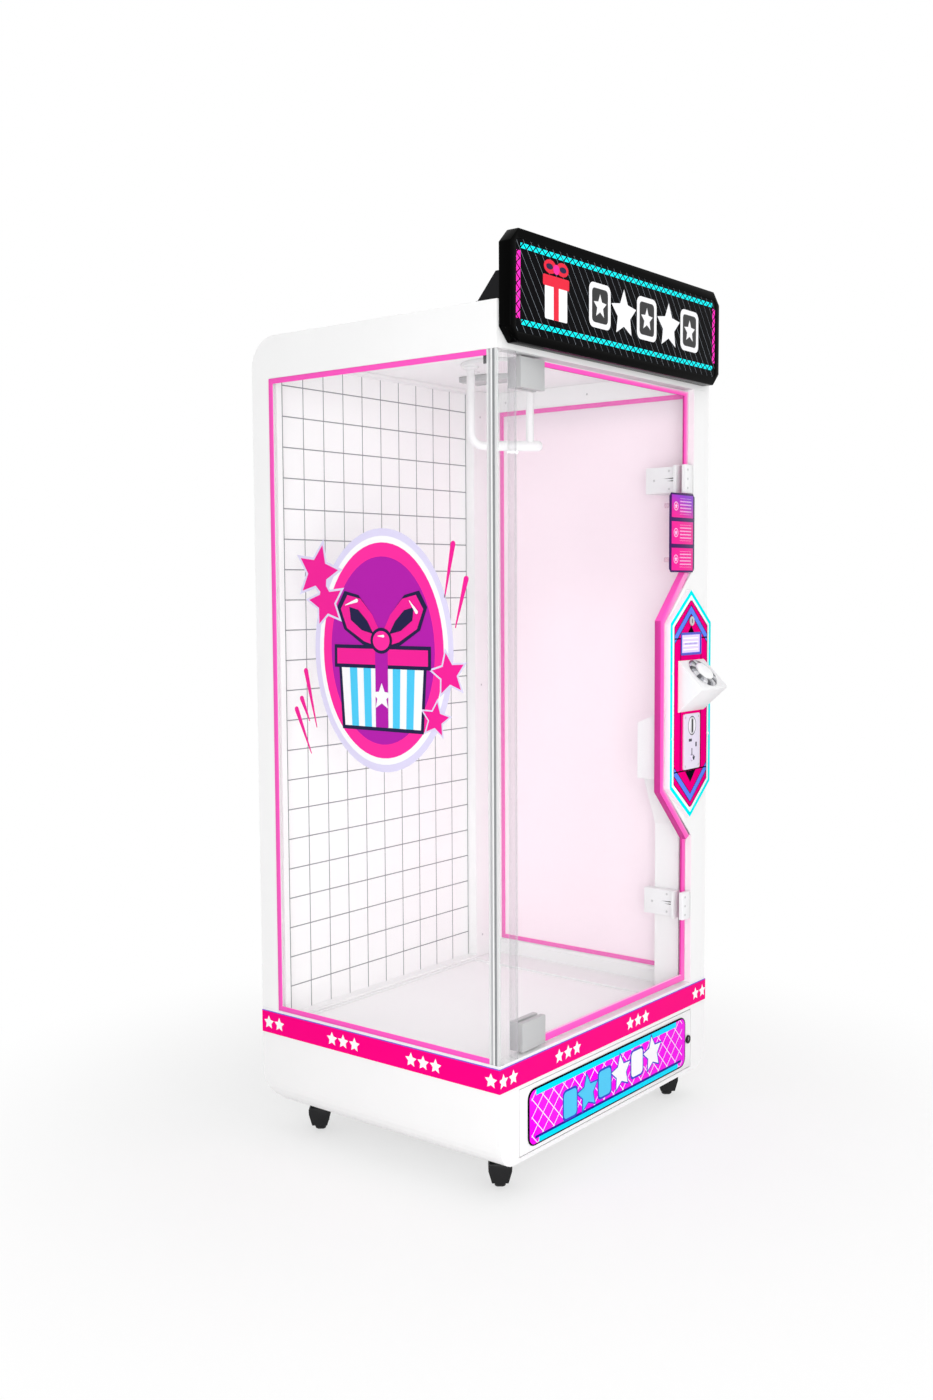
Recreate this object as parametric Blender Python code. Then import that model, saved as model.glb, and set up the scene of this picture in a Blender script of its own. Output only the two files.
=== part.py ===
"""Prize-cutting crane cabinet, about 2 m tall: glass display case on casters, with a start button and a coin plate.

Metres, +Z up. X runs left to right as the player sees it and the front faces -Y. The origin is on the floor under the
middle of the object's bounding box. Depths are counted from the cabinet's front plane with behind().
"""

import math

import bmesh
import bpy
from mathutils import Matrix, Vector

# ---------------------------------------------------------------- driving dimensions
CABINET_WIDTH = 0.860
CABINET_DEPTH = 0.700
FLOOR_GAP = 0.075  # casters lift the cabinet this far
CABINET_TOP = 1.850  # height of the roof above the floor
DECK_TOP = 0.266

FIT = 0.0003  # gap between two pieces that touch
SHEET = 0.004  # folded steel of the base, the roof and the back
THIN_SHEET = 0.003  # post, liners and brackets
BOARD = 0.018  # side frames

BASE_EDGE_RADIUS = 0.050  # long bottom edges
BASE_REAR_RADIUS = 0.080
ROOF_REAR_RADIUS = 0.070
DECK_THICKNESS = 0.0055
SILL_HEIGHT = 0.034
SILL_WIDTH = 0.030
LEDGE_THICKNESS = 0.005  # flat rim of the sill, on the deck
BAND_HEIGHT = 0.052
BAND_THICKNESS = 0.0015

HEADER_DEPTH = 0.030
REAR_FRAME_THICKNESS = 0.028
REAR_POST_WIDTH = 0.0975  # right-hand upright of the rear frame
REAR_RAIL_WIDTH = 0.0155  # its left-hand upright
CORNER_LEG = 0.026
CORNER_FACE = 0.018
LINER_THICKNESS = 0.007

GLASS = 0.005
DOOR_GLASS = 0.008
TRIM_WIDTH = 0.017
TRIM_THICKNESS = 0.0065
WINDOW_TRIM_WIDTH = 0.012

DOOR_GAP = 0.007  # clear space around the door
DOOR_FACE = 0.012  # depth of the front of the door's trim
DOOR_GLASS_INSET = 0.003  # the glass stops this far inside the trim
PATCH_WIDTH = 0.080
PATCH_HEIGHT = 0.062
PATCH_OVERHANG = 0.013
HINGE_PIN = 0.005

PANEL_HALF_WIDTH = 0.098
PANEL_SHOULDER = 0.197
PANEL_APEX = 0.277
PANEL_PROUD = 0.014
PANEL_MARGIN = 0.002  # from the panel's edge to the door beside it
NOTCH_RIB_FACE = 0.0008  # depth of the front of the door's trim beside the panel
TOP_TRIM_WIDTH = 0.0105
WING_SLOPE_HEIGHT = 0.130  # height of the slanted edge beside the panel

DISPLAY_SIZE = (0.093, 0.049)
DISPLAY_POCKET = 0.003
KEY_RADIUS = 0.0085
COIN_PLATE_SIZE = (0.078, 0.135)
COIN_PLATE_THICKNESS = 0.004
COIN_SLOT = (0.004, 0.032)
RETURN_BUTTON = (0.014, 0.012)
BEZEL_RADIUS = 0.0425
CAP_RADIUS = 0.0255
COIN_WALL = 0.002
ACCEPTOR_DEPTH = 0.080

LOCK_HEIGHT = 0.063
LOCK_DEPTH = 0.083
STRIKE_HEIGHT = 0.068
HOOK_THICKNESS = 0.003
BOLT_RADIUS = 0.003
BOLT_LENGTH = 0.0078

SERVICE_GAP = 0.002
LOCK_BARREL = 0.008
GRAPHIC_CORNER = 0.022

SIGN_HEIGHT = 0.221
SIGN_DEPTH = 0.030
SIGN_CORNER = 0.028  # cut off straight
SIGN_RIM = 0.020
SIGN_RECESS = 0.005
GUSSET_HEIGHT = 0.056

ARM_TURN = math.radians(-45)
ARM_DISC = 0.092
ARM_DROP = 0.1905  # from the ceiling to the middle of the arm's bar
ARM_HALF_SPAN = 0.070
ARM_TUBE = 0.010
ARM_SLEEVE = 0.0125
ARM_BEND = 0.030
SLEEVE_LENGTH = 0.122
SPINDLE = 0.010
DRIVE_WIDTH = 0.110

CASTER_FRONT = 0.060
CASTER_TRAIL = 0.014
CASTER_YAW = math.radians(38)
WHEEL_RADIUS = 0.025
WHEEL_WIDTH = 0.026
AXLE_RADIUS = 0.004
AXLE_CLEARANCE = 0.0001

CASH_BOX_HEIGHT = 0.112
CASH_BOX_EXTRA = 0.110  # how far the cash box reaches to the left of the duct

INLET_FLANGE = 0.002
INLET_SIZE = (0.084, 0.040)
INLET_Z = 0.200

# ---------------------------------------------------------------- derived places
LEFT = -CABINET_WIDTH / 2
RIGHT = CABINET_WIDTH / 2
BUTTON_HOUSING_WIDTH = 2 * BEZEL_RADIUS + 0.041
BUTTON_REACH = PANEL_PROUD + 1.2 * BEZEL_RADIUS + 0.013  # nose of the button housing in front of the cabinet
FRONT = BUTTON_REACH - (BUTTON_REACH + CABINET_DEPTH + INLET_FLANGE + FIT) / 2
BACK = FRONT + CABINET_DEPTH
INNER = CABINET_WIDTH / 2 - BOARD - FIT  # half width between the side frames
SHELL_TOP = DECK_TOP - DECK_THICKNESS - FIT
SILL_TOP = DECK_TOP + SILL_HEIGHT
BAND_LOW = SILL_TOP - 0.058
UPRIGHT_LOW = SILL_TOP + FIT
RIM_TOP = DECK_TOP + LEDGE_THICKNESS
WINDOW_TOP = CABINET_TOP - 0.095
HEADER_LOW = WINDOW_TOP + 0.002
CEILING_BOTTOM = CABINET_TOP - 0.044
WINDOW_REAR = CABINET_DEPTH - 0.053  # depth of the side windows' rear edges
REAR_FRAME_DEPTH = CABINET_DEPTH - 0.060
GRID_DEPTH = REAR_FRAME_DEPTH + REAR_FRAME_THICKNESS + FIT
POST_LEFT = INNER - REAR_POST_WIDTH

OPENING_LEFT = LEFT + 0.064
OPENING_RIGHT = RIGHT - 0.072
HINGE_X = OPENING_LEFT + 0.041
DOOR_LEFT = HINGE_X - PATCH_OVERHANG
DOOR_RIGHT = OPENING_RIGHT - DOOR_GAP
DOOR_LOW = UPRIGHT_LOW + 0.005
DOOR_HIGH = HEADER_LOW - DOOR_GAP
DOOR_GLASS_FACE = DOOR_FACE + TRIM_THICKNESS + FIT
DOOR_GLASS_REAR = DOOR_GLASS_FACE + DOOR_GLASS
DOOR_AXIS_DEPTH = DOOR_GLASS_FACE + DOOR_GLASS / 2
LOCK_FRONT = DOOR_GLASS_REAR + 0.0102
BOLT_DEPTH = LOCK_FRONT + 0.015  # the lock bolts lie this far behind the front

PANEL_X = RIGHT - 0.104
PANEL_Z = (UPRIGHT_LOW + WINDOW_TOP) / 2 - 0.02965
PANEL_LEFT = PANEL_X - PANEL_HALF_WIDTH
DOOR_NOTCH = PANEL_LEFT - PANEL_MARGIN
WING_REACH = PANEL_SHOULDER + WING_SLOPE_HEIGHT
DISPLAY_Z = PANEL_Z + 0.147
KEY_Z = PANEL_Z + 0.2015
COIN_PLATE_Z = PANEL_Z - 0.090
COIN_SLOT_Z = COIN_PLATE_Z + 0.038
RETURN_BUTTON_Z = COIN_PLATE_Z - 0.040
BUTTON_HOUSING_NOSE = PANEL_Z + 0.042
BUTTON_HOUSING_TOP = BUTTON_HOUSING_NOSE + 1.2 * BEZEL_RADIUS + 0.015
BUTTON_HOUSING_BOTTOM = PANEL_Z - 0.017
ACCEPTOR_LOW = COIN_PLATE_Z - 0.088
ACCEPTOR_SLOPE = COIN_PLATE_Z + 0.047
ACCEPTOR_HIGH = COIN_PLATE_Z + 0.082
ACCEPTOR_X = (PANEL_X - 0.091, PANEL_X + 0.029)
UPPER_LOCK_Z = PANEL_Z + 0.543
LOWER_LOCK_Z = PANEL_Z - 0.5005
HOOK_X = DOOR_RIGHT - 0.007  # left face of the hooks on the door
DUCT_LEFT = OPENING_RIGHT + 0.002

SERVICE_HALF_WIDTH = CABINET_WIDTH / 2 - 0.070
SERVICE_LOW = FLOOR_GAP + 0.012
SERVICE_HIGH = BAND_LOW - 0.011
SERVICE_LOCK_X = SERVICE_HALF_WIDTH - 0.0135
SERVICE_LOCK_Z = (SERVICE_LOW + SERVICE_HIGH) / 2 - 0.0004
GRAPHIC_LOW = (-SERVICE_HALF_WIDTH + 0.027, SERVICE_LOW + 0.010)
GRAPHIC_HIGH = (SERVICE_HALF_WIDTH - 0.030, SERVICE_HIGH - 0.009)

SIGN_HALF_WIDTH = CABINET_WIDTH / 2 - 0.005
SIGN_LOW = CABINET_TOP - 0.083
SIGN_HIGH = SIGN_LOW + SIGN_HEIGHT
ARM_DEPTH = CABINET_DEPTH * 0.45  # the arm turns about a vertical axis here
ARM_BAR_Z = CEILING_BOTTOM - ARM_DROP
CASTER_X = CABINET_WIDTH / 2 - 0.080
CASTER_REAR = CABINET_DEPTH - 0.106
INLET_X = RIGHT - 0.180

WHITE = (0.93, 0.93, 0.93)
PINK = (0.90, 0.10, 0.50)
PALE_PINK = (1.00, 0.87, 0.96)
MAGENTA = (0.90, 0.00, 0.30)
BLACK = (0.01, 0.01, 0.01)
GREY = (0.55, 0.55, 0.56)
STEEL = (0.70, 0.70, 0.72)
CLEAR = (0.85, 0.95, 0.97)
PURPLE = (0.45, 0.02, 0.55)


def behind(depth):
    """Y of a point this far behind the cabinet's front plane."""
    return FRONT + depth


# ---------------------------------------------------------------- materials
def material(name, colour, roughness=0.4, metallic=0.0, alpha=1.0):
    """A Principled material, made once for each name."""
    found = bpy.data.materials.get(name)
    if found:
        return found
    made = bpy.data.materials.new(name)
    made.use_nodes = True
    shader = made.node_tree.nodes["Principled BSDF"]
    shader.inputs["Base Color"].default_value = (*colour, 1.0)
    shader.inputs["Roughness"].default_value = roughness
    shader.inputs["Metallic"].default_value = metallic
    shader.inputs["Alpha"].default_value = alpha
    made.diffuse_color = (*colour, alpha)
    return made


def painted():
    return material("white_paint", WHITE, 0.35)


def grey_steel():
    return material("steel", STEEL, 0.3, 1.0)


def clear_glass():
    return material("clear_glass", CLEAR, 0.05, 0.0, 0.35)


# ---------------------------------------------------------------- solids
def solid(name, mesh_builder, skin):
    """An object from a filled bmesh, with its faces turned outwards."""
    bmesh.ops.recalc_face_normals(mesh_builder, faces=mesh_builder.faces)
    mesh = bpy.data.meshes.new(name)
    mesh_builder.to_mesh(mesh)
    mesh_builder.free()
    mesh.materials.append(skin)
    made = bpy.data.objects.new(name, mesh)
    bpy.context.collection.objects.link(made)
    return made


def on_axis(axis, first, second, along):
    """A 3-D point from two in-plane values and one along the named axis."""
    return {"x": (along, first, second), "y": (first, along, second), "z": (first, second, along)}[axis]


def prism(name, outline, axis, low, high, skin):
    """An outline pushed along an axis: (y, z) points for x, (x, z) for y and (x, y) for z."""
    shape = bmesh.new()
    ends = [[shape.verts.new(on_axis(axis, a, b, place)) for a, b in outline] for place in (low, high)]
    shape.faces.new(ends[0])
    shape.faces.new(ends[1])
    for index in range(len(outline)):
        after = (index + 1) % len(outline)
        shape.faces.new((ends[0][index], ends[0][after], ends[1][after], ends[1][index]))
    return solid(name, shape, skin)


def box(name, x, y, z, skin):
    """A box from three (low, high) pairs."""
    outline = [(x[0], y[0]), (x[1], y[0]), (x[1], y[1]), (x[0], y[1])]
    return prism(name, outline, "z", z[0], z[1], skin)


def arc(centre, radius, start, end, steps):
    """Points on an arc, in degrees, with both ends."""
    angles = [math.radians(start + (end - start) * step / steps) for step in range(steps + 1)]
    return [(centre[0] + radius * math.cos(a), centre[1] + radius * math.sin(a)) for a in angles]


def rounded_rectangle(low, high, radii, steps=6):
    """Outline from corner to corner, with the radii of its low-left, low-right, high-right and high-left corners."""
    places = (
        ((low[0], low[1]), (1, 1), 180),
        ((high[0], low[1]), (-1, 1), 270),
        ((high[0], high[1]), (-1, -1), 0),
        ((low[0], high[1]), (1, -1), 90),
    )
    points = []
    for (corner, inward, start), radius in zip(places, radii):
        if not radius:
            points.append(corner)
            continue
        centre = (corner[0] + inward[0] * radius, corner[1] + inward[1] * radius)
        points += arc(centre, radius, start, start + 90, steps)
    return points


def lathe(name, profile, skin, steps=24, turn=None):
    """A closed (radius, height) profile turned about Z, then placed by a matrix."""
    shape = bmesh.new()
    rings = []
    for step in range(steps):
        angle = 2 * math.pi * step / steps
        ring = [shape.verts.new((r * math.cos(angle), r * math.sin(angle), h)) for r, h in profile]
        rings.append(ring)
    for step, ring in enumerate(rings):
        following = rings[(step + 1) % steps]
        for index in range(len(profile)):
            after = (index + 1) % len(profile)
            shape.faces.new((ring[index], ring[after], following[after], following[index]))
    bmesh.ops.remove_doubles(shape, verts=shape.verts, dist=0.00001)
    bmesh.ops.transform(shape, matrix=turn or Matrix(), verts=shape.verts)
    return solid(name, shape, skin)


def rod(name, start, end, radius, skin, steps=24):
    """A cylinder between two points."""
    start, end = Vector(start), Vector(end)
    along = end - start
    turn = Matrix.Translation(start) @ along.to_track_quat("Z", "Y").to_matrix().to_4x4()
    shape = bmesh.new()
    bmesh.ops.create_cone(
        shape, cap_ends=True, segments=steps, radius1=radius, radius2=radius, depth=along.length
    )
    bmesh.ops.transform(shape, matrix=turn @ Matrix.Translation((0, 0, along.length / 2)), verts=shape.verts)
    return solid(name, shape, skin)


def tube(name, points, radius, skin, sides=16):
    """A round bar swept along a path that lies in one upright plane."""
    shape = bmesh.new()
    points = [Vector(point) for point in points]
    side = Vector((points[-1] - points[0]).xy.to_3d()).cross(Vector((0, 0, 1))).normalized()
    rings = []
    for index, point in enumerate(points):
        ahead = points[min(index + 1, len(points) - 1)] - points[max(index - 1, 0)]
        up = side.cross(ahead.normalized())
        turns = [2 * math.pi * k / sides for k in range(sides)]
        rings.append([shape.verts.new(point + radius * (math.cos(a) * side + math.sin(a) * up)) for a in turns])
    for ring, following in zip(rings, rings[1:]):
        for index in range(sides):
            after = (index + 1) % sides
            shape.faces.new((ring[index], ring[after], following[after], following[index]))
    shape.faces.new(rings[0])
    shape.faces.new(rings[-1])
    return solid(name, shape, skin)


def combine(target, operation, tools):
    """Boolean of a piece with each tool in turn. The tools are used up."""
    for tool in tools:
        modifier = target.modifiers.new("combine", "BOOLEAN")
        modifier.operation = operation
        modifier.object = tool
        graph = bpy.context.evaluated_depsgraph_get()
        mesh = bpy.data.meshes.new_from_object(target.evaluated_get(graph))
        target.modifiers.clear()
        used = target.data
        target.data = mesh
        bpy.data.meshes.remove(used)
        bpy.data.objects.remove(tool)
    return target


def cut(target, *tools):
    return combine(target, "DIFFERENCE", tools)


def unite(target, *tools):
    return combine(target, "UNION", tools)


def tool_box(x, y, z):
    return box("tool", x, y, z, painted())


def tool_prism(outline, axis, low, high):
    return prism("tool", outline, axis, low, high, painted())


def tool_rod(start, end, radius, steps=24):
    return rod("tool", start, end, radius, painted(), steps)


def pivot(name, place):
    """An empty on a joint's axis."""
    made = bpy.data.objects.new(name, None)
    made.location = place
    made.empty_display_size = 0.05
    bpy.context.collection.objects.link(made)
    return made


def settle(piece, parent=None, origin=None):
    """Moves a piece's origin to its middle, or to a given point, and hangs it from a parent."""
    corners = [Vector(corner) for corner in piece.bound_box]
    place = Vector(origin) if origin else (corners[0] + corners[6]) / 2
    piece.data.transform(Matrix.Translation(-place))
    piece.location = place
    if parent:
        piece.parent = parent
        piece.location = place - Vector(parent.location)
    piece.data.shade_smooth()
    piece.data.set_sharp_from_angle(angle=math.radians(35))
    return piece


# ---------------------------------------------------------------- base
def side_round(inset):
    """The base seen from the front, this far inside its outer skin."""
    radius = BASE_EDGE_RADIUS - inset
    low = (LEFT + inset, FLOOR_GAP + inset)
    return rounded_rectangle(low, (RIGHT - inset, SILL_TOP), (radius, radius, 0, 0))


def rear_round(inset):
    """The base seen from the side, this far inside its outer skin."""
    low = (FRONT + inset, FLOOR_GAP + inset)
    return rounded_rectangle(low, (BACK - inset, SILL_TOP), (0, BASE_REAR_RADIUS - inset, 0, 0), 7)


def base_block(inset, top):
    """The solid that both rounded views have in common."""
    block = prism("block", side_round(inset), "y", FRONT + inset, BACK - inset, painted())
    side = tool_prism(rear_round(inset), "x", LEFT, RIGHT)
    combine(block, "INTERSECT", [side])
    return cut(block, tool_box((LEFT - 1, RIGHT + 1), (FRONT - 1, BACK + 1), (top, top + 1)))


def make_base_shell():
    shell = base_block(0, SHELL_TOP)
    shell.name = "base_shell"
    hollow = base_block(SHEET, SILL_TOP - 0.001)
    wide = SERVICE_HALF_WIDTH + SERVICE_GAP
    doorway = tool_box(
        (-wide, wide), (FRONT - 0.01, FRONT + 0.02), (SERVICE_LOW - SERVICE_GAP, SERVICE_HIGH + SERVICE_GAP)
    )
    inlet = tool_box(centred(INLET_X, 0.070), (BACK - 0.02, BACK + 0.01), centred(INLET_Z, 0.029))
    settle(cut(shell, hollow, doorway, inlet))


def duct_footprint(inset):
    """(x, y) ranges of the coin duct, this far inside its skin."""
    front = SILL_WIDTH + 0.006
    return (DUCT_LEFT + inset, RIGHT - SILL_WIDTH - FIT - inset), (behind(front) + inset, behind(front + 0.068) - inset)


def make_deck_and_sill():
    deck = box("deck_panel", (LEFT, RIGHT), (FRONT, BACK), (DECK_TOP - DECK_THICKNESS, DECK_TOP), painted())
    drop_x, drop_y = duct_footprint(THIN_SHEET)
    settle(cut(deck, tool_box(drop_x, drop_y, (0, 1))))
    sill = box("sill_frame", (LEFT, RIGHT), (FRONT, BACK), (DECK_TOP + FIT, SILL_TOP), painted())
    above = (DECK_TOP + LEDGE_THICKNESS, 1)
    inside = tool_box((LEFT + SILL_WIDTH, RIGHT - SILL_WIDTH), (FRONT + SILL_WIDTH, BACK - SILL_WIDTH), above)
    rim_rear = behind(REAR_FRAME_DEPTH - 0.006)
    within_rim = tool_box((LEFT + SILL_WIDTH, POST_LEFT - 0.014), (FRONT + SILL_WIDTH, rim_rear), (0, 1))
    seat = tool_box(
        (-INNER - FIT, INNER + FIT),
        (behind(REAR_FRAME_DEPTH - FIT), behind(GRID_DEPTH + THIN_SHEET + FIT)), above,
    )
    duct_x, duct_y = duct_footprint(-FIT)
    settle(cut(sill, inside, seat, within_rim, tool_box(duct_x, duct_y, (0, 1))))


def make_waist_band():
    inner = CABINET_WIDTH / 2 + FIT
    outer = inner + BAND_THICKNESS
    band = box("waist_band", (-outer, outer), (FRONT - FIT - BAND_THICKNESS, BACK), (BAND_LOW, BAND_LOW + BAND_HEIGHT),
               material("band_pink", PINK, 0.3))
    settle(cut(band, tool_box((-inner, inner), (FRONT - FIT, BACK + 1), (0, 1))))


# ---------------------------------------------------------------- upper cabinet
def side_outline():
    """A whole side in (y, z), with its rounded rear top corner."""
    return rounded_rectangle((FRONT, UPRIGHT_LOW), (BACK, CABINET_TOP), (0, 0, ROOF_REAR_RADIUS, 0), 7)


def make_side_frames():
    left = prism("left_side_frame", side_outline(), "x", LEFT, LEFT + BOARD, painted())
    settle(cut(left, tool_box((-1, 1), (FRONT - 1, behind(WINDOW_REAR)), (0, WINDOW_TOP))))
    right = prism("right_side_frame", side_outline(), "x", RIGHT - BOARD, RIGHT, painted())
    window = tool_box((-1, 1), (behind(HEADER_DEPTH + 0.013), behind(WINDOW_REAR)), (UPRIGHT_LOW + 0.012, WINDOW_TOP))
    settle(cut(right, window))


def make_back_and_roof():
    back_top = CABINET_TOP - ROOF_REAR_RADIUS
    settle(box("back_panel", (-INNER, INNER), (BACK - SHEET, BACK), (UPRIGHT_LOW, back_top - FIT), painted()))
    centre = (BACK - ROOF_REAR_RADIUS, back_top)
    outline = [(FRONT, CABINET_TOP), (FRONT, CABINET_TOP - SHEET)]
    outline += arc(centre, ROOF_REAR_RADIUS - SHEET, 90, 0, 7)
    outline += arc(centre, ROOF_REAR_RADIUS, 0, 90, 7)
    settle(prism("roof_panel", outline, "x", -INNER, INNER, painted()))


def make_rear_frame():
    frame = box(
        "rear_frame", (-INNER, INNER), (behind(REAR_FRAME_DEPTH), behind(REAR_FRAME_DEPTH + REAR_FRAME_THICKNESS)),
        (RIM_TOP + FIT, CEILING_BOTTOM - FIT), painted(),
    )
    opening = (-INNER + REAR_RAIL_WIDTH, POST_LEFT)
    settle(cut(frame, tool_box(opening, (-1, 1), (RIM_TOP + 0.006, CEILING_BOTTOM - 0.008))))
    settle(box(
        "grid_panel", (-INNER + 0.005, POST_LEFT + 0.030), (behind(GRID_DEPTH), behind(GRID_DEPTH + THIN_SHEET)),
        (RIM_TOP + FIT, CEILING_BOTTOM - FIT), painted(),
    ))


def wall_liner_depths():
    """Depths of the front and rear edges of the right wall's liner."""
    return HEADER_DEPTH + 0.001, REAR_FRAME_DEPTH - FIT


def make_linings():
    front, rear = wall_liner_depths()
    settle(box(
        "right_wall_panel", (INNER - LINER_THICKNESS, INNER), (behind(front), behind(rear)),
        (UPRIGHT_LOW, CEILING_BOTTOM - FIT), material("pale_pink", PALE_PINK, 0.35),
    ))
    ceiling = box(
        "ceiling_panel", (-INNER, INNER), (behind(HEADER_DEPTH + FIT), behind(REAR_FRAME_DEPTH - FIT)),
        (CEILING_BOTTOM, CEILING_BOTTOM + THIN_SHEET), painted(),
    )
    axis = (0, behind(ARM_DEPTH))
    settle(cut(ceiling, tool_rod((*axis, WINDOW_TOP), (*axis, CABINET_TOP), SPINDLE + 0.006)))


def make_header():
    front = (FRONT, FRONT + SHEET)
    rear = (FRONT, behind(HEADER_DEPTH))
    header = box("front_header", (-INNER, INNER), front, (HEADER_LOW, CABINET_TOP - SHEET - FIT), painted())
    lip = tool_box((-INNER, INNER), rear, (HEADER_LOW, HEADER_LOW + SHEET))
    settle(unite(header, lip))


def wing_outline(left, right):
    """The post in (x, z): a strip with a six-sided wing that carries the control panel."""
    top = HEADER_LOW - FIT
    return [
        (right, UPRIGHT_LOW), (right, top), (OPENING_RIGHT, top),
        (OPENING_RIGHT, PANEL_Z + WING_REACH), (left, PANEL_Z + PANEL_SHOULDER),
        (left, PANEL_Z - PANEL_SHOULDER), (OPENING_RIGHT, PANEL_Z - WING_REACH),
        (OPENING_RIGHT, UPRIGHT_LOW),
    ]


def make_front_right_post():
    outline = wing_outline(PANEL_LEFT, INNER)
    post = prism("front_right_post", outline, "y", FRONT, FRONT + THIN_SHEET, painted())
    side = (OPENING_RIGHT, OPENING_RIGHT + THIN_SHEET)
    depth = (FRONT, behind(HEADER_DEPTH - 0.002))
    lower = tool_box(side, depth, (UPRIGHT_LOW, PANEL_Z - WING_REACH))
    upper = tool_box(side, depth, (PANEL_Z + WING_REACH, HEADER_LOW - FIT))
    coin_window = tool_box(
        centred(PANEL_X, 0.060), (FRONT - 0.01, FRONT + 0.01), (COIN_PLATE_Z - 0.055, COIN_PLATE_Z + 0.060)
    )
    settle(cut(unite(post, lower, upper), coin_window))


# ---------------------------------------------------------------- fixed glass
def make_corner():
    top = WINDOW_TOP - FIT
    lip = THIN_SHEET
    outline = [
        (LEFT, FRONT), (LEFT + CORNER_FACE, FRONT), (LEFT + CORNER_FACE, FRONT + lip), (LEFT + lip, FRONT + lip),
        (LEFT + lip, FRONT + CORNER_LEG), (LEFT, FRONT + CORNER_LEG),
    ]
    clear = clear_glass()
    settle(prism("corner_profile", outline, "z", UPRIGHT_LOW, top, clear))
    inside_x = LEFT + lip + FIT
    inside_y = FRONT + lip + FIT
    settle(box(
        "left_glass", (inside_x, inside_x + GLASS), (inside_y, behind(WINDOW_REAR) - FIT), (UPRIGHT_LOW, top), clear
    ))
    strip_left = OPENING_LEFT - 0.017
    settle(box(
        "corner_glass", (inside_x + GLASS + FIT, strip_left - FIT), (inside_y, inside_y + GLASS),
        (UPRIGHT_LOW, top), clear,
    ))
    settle(box("hinge_side_strip", (strip_left, OPENING_LEFT), (FRONT, behind(0.020)), (UPRIGHT_LOW, top), clear))


def make_left_window_trim():
    """Three-sided trim that lies in the window on the glass: top, rear and bottom."""
    pink = material("trim_pink", PINK, 0.25)
    low, high = UPRIGHT_LOW, WINDOW_TOP - FIT
    front, rear = behind(CORNER_LEG + 0.001), behind(WINDOW_REAR) - FIT
    width = WINDOW_TRIM_WIDTH
    outline = [
        (front, low), (rear, low), (rear, high), (front, high),
        (front, high - width), (rear - width, high - width), (rear - width, low + width), (front, low + width),
    ]
    settle(prism("left_window_trim", outline, "x", LEFT - FIT, LEFT + THIN_SHEET, pink))


# ---------------------------------------------------------------- front door
def door_outline(inset=0.0, notch_inset=0.0):
    """The door's right-hand outline from its lower left to its upper left corner, in (x, z)."""
    right = DOOR_RIGHT - inset
    notch = DOOR_NOTCH - notch_inset
    shift = inset * 0.45  # keeps the slanted edges' width near the inset
    return [
        (right, DOOR_LOW + inset), (right, PANEL_Z - WING_REACH - shift), (notch, PANEL_Z - PANEL_SHOULDER - shift),
        (notch, PANEL_Z + PANEL_SHOULDER + shift), (right, PANEL_Z + WING_REACH + shift), (right, DOOR_HIGH - inset),
    ]


def make_front_door(hinge):
    edge = DOOR_GLASS_INSET
    glass = [(DOOR_LEFT, DOOR_LOW + edge), *door_outline(edge, edge), (DOOR_LEFT, DOOR_HIGH - edge)]
    depths = (behind(DOOR_GLASS_FACE), behind(DOOR_GLASS_REAR))
    settle(prism("front_door_glass", glass, "y", *depths, clear_glass()), hinge)

    start = DOOR_LEFT + PATCH_WIDTH + 0.001
    outer = [(start, DOOR_LOW), *door_outline(), (start, DOOR_HIGH)]
    inner = [(start, DOOR_LOW + TRIM_WIDTH), *door_outline(TRIM_WIDTH, TRIM_WIDTH)]
    inner[-1] = (inner[-1][0], DOOR_HIGH - TOP_TRIM_WIDTH)
    inner.append((start, DOOR_HIGH - TOP_TRIM_WIDTH))
    pink = material("trim_pink", PINK, 0.25)
    trim = prism("front_door_trim", outer + inner[::-1], "y", behind(DOOR_FACE), behind(DOOR_GLASS_FACE) - FIT, pink)
    beside_panel = door_outline()[1:5] + door_outline(TRIM_WIDTH, TRIM_WIDTH)[4:0:-1]
    rib = tool_prism(beside_panel, "y", behind(NOTCH_RIB_FACE), behind(DOOR_FACE + 0.002))
    settle(unite(trim, rib), hinge)


def make_hinge_patch(name, low, high, pin_end, hinge):
    """A clamp over the glass at the hinge, with its pivot pin."""
    patch = box(
        name, (DOOR_LEFT - 0.0035, DOOR_LEFT + PATCH_WIDTH), (behind(0.006), behind(DOOR_GLASS_REAR + 0.0125)),
        (low, high), material("patch_steel", GREY, 0.35, 1.0),
    )
    inside = (behind(DOOR_GLASS_FACE) - FIT, behind(DOOR_GLASS_REAR) + FIT)
    upper = high > WINDOW_TOP / 2
    edge = DOOR_GLASS_INSET - FIT
    glass_end = DOOR_HIGH - edge if upper else DOOR_LOW + edge
    slot = (low - 1, glass_end) if upper else (glass_end, high + 1)
    slit = tool_box((DOOR_LEFT - FIT, 1), inside, slot)
    root = high - edge / 2 if upper else low + edge / 2
    axis = (HINGE_X, behind(DOOR_AXIS_DEPTH))
    pin = tool_rod((*axis, min(root, pin_end)), (*axis, max(root, pin_end)), HINGE_PIN)
    settle(unite(cut(patch, slit), pin), hinge)


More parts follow.
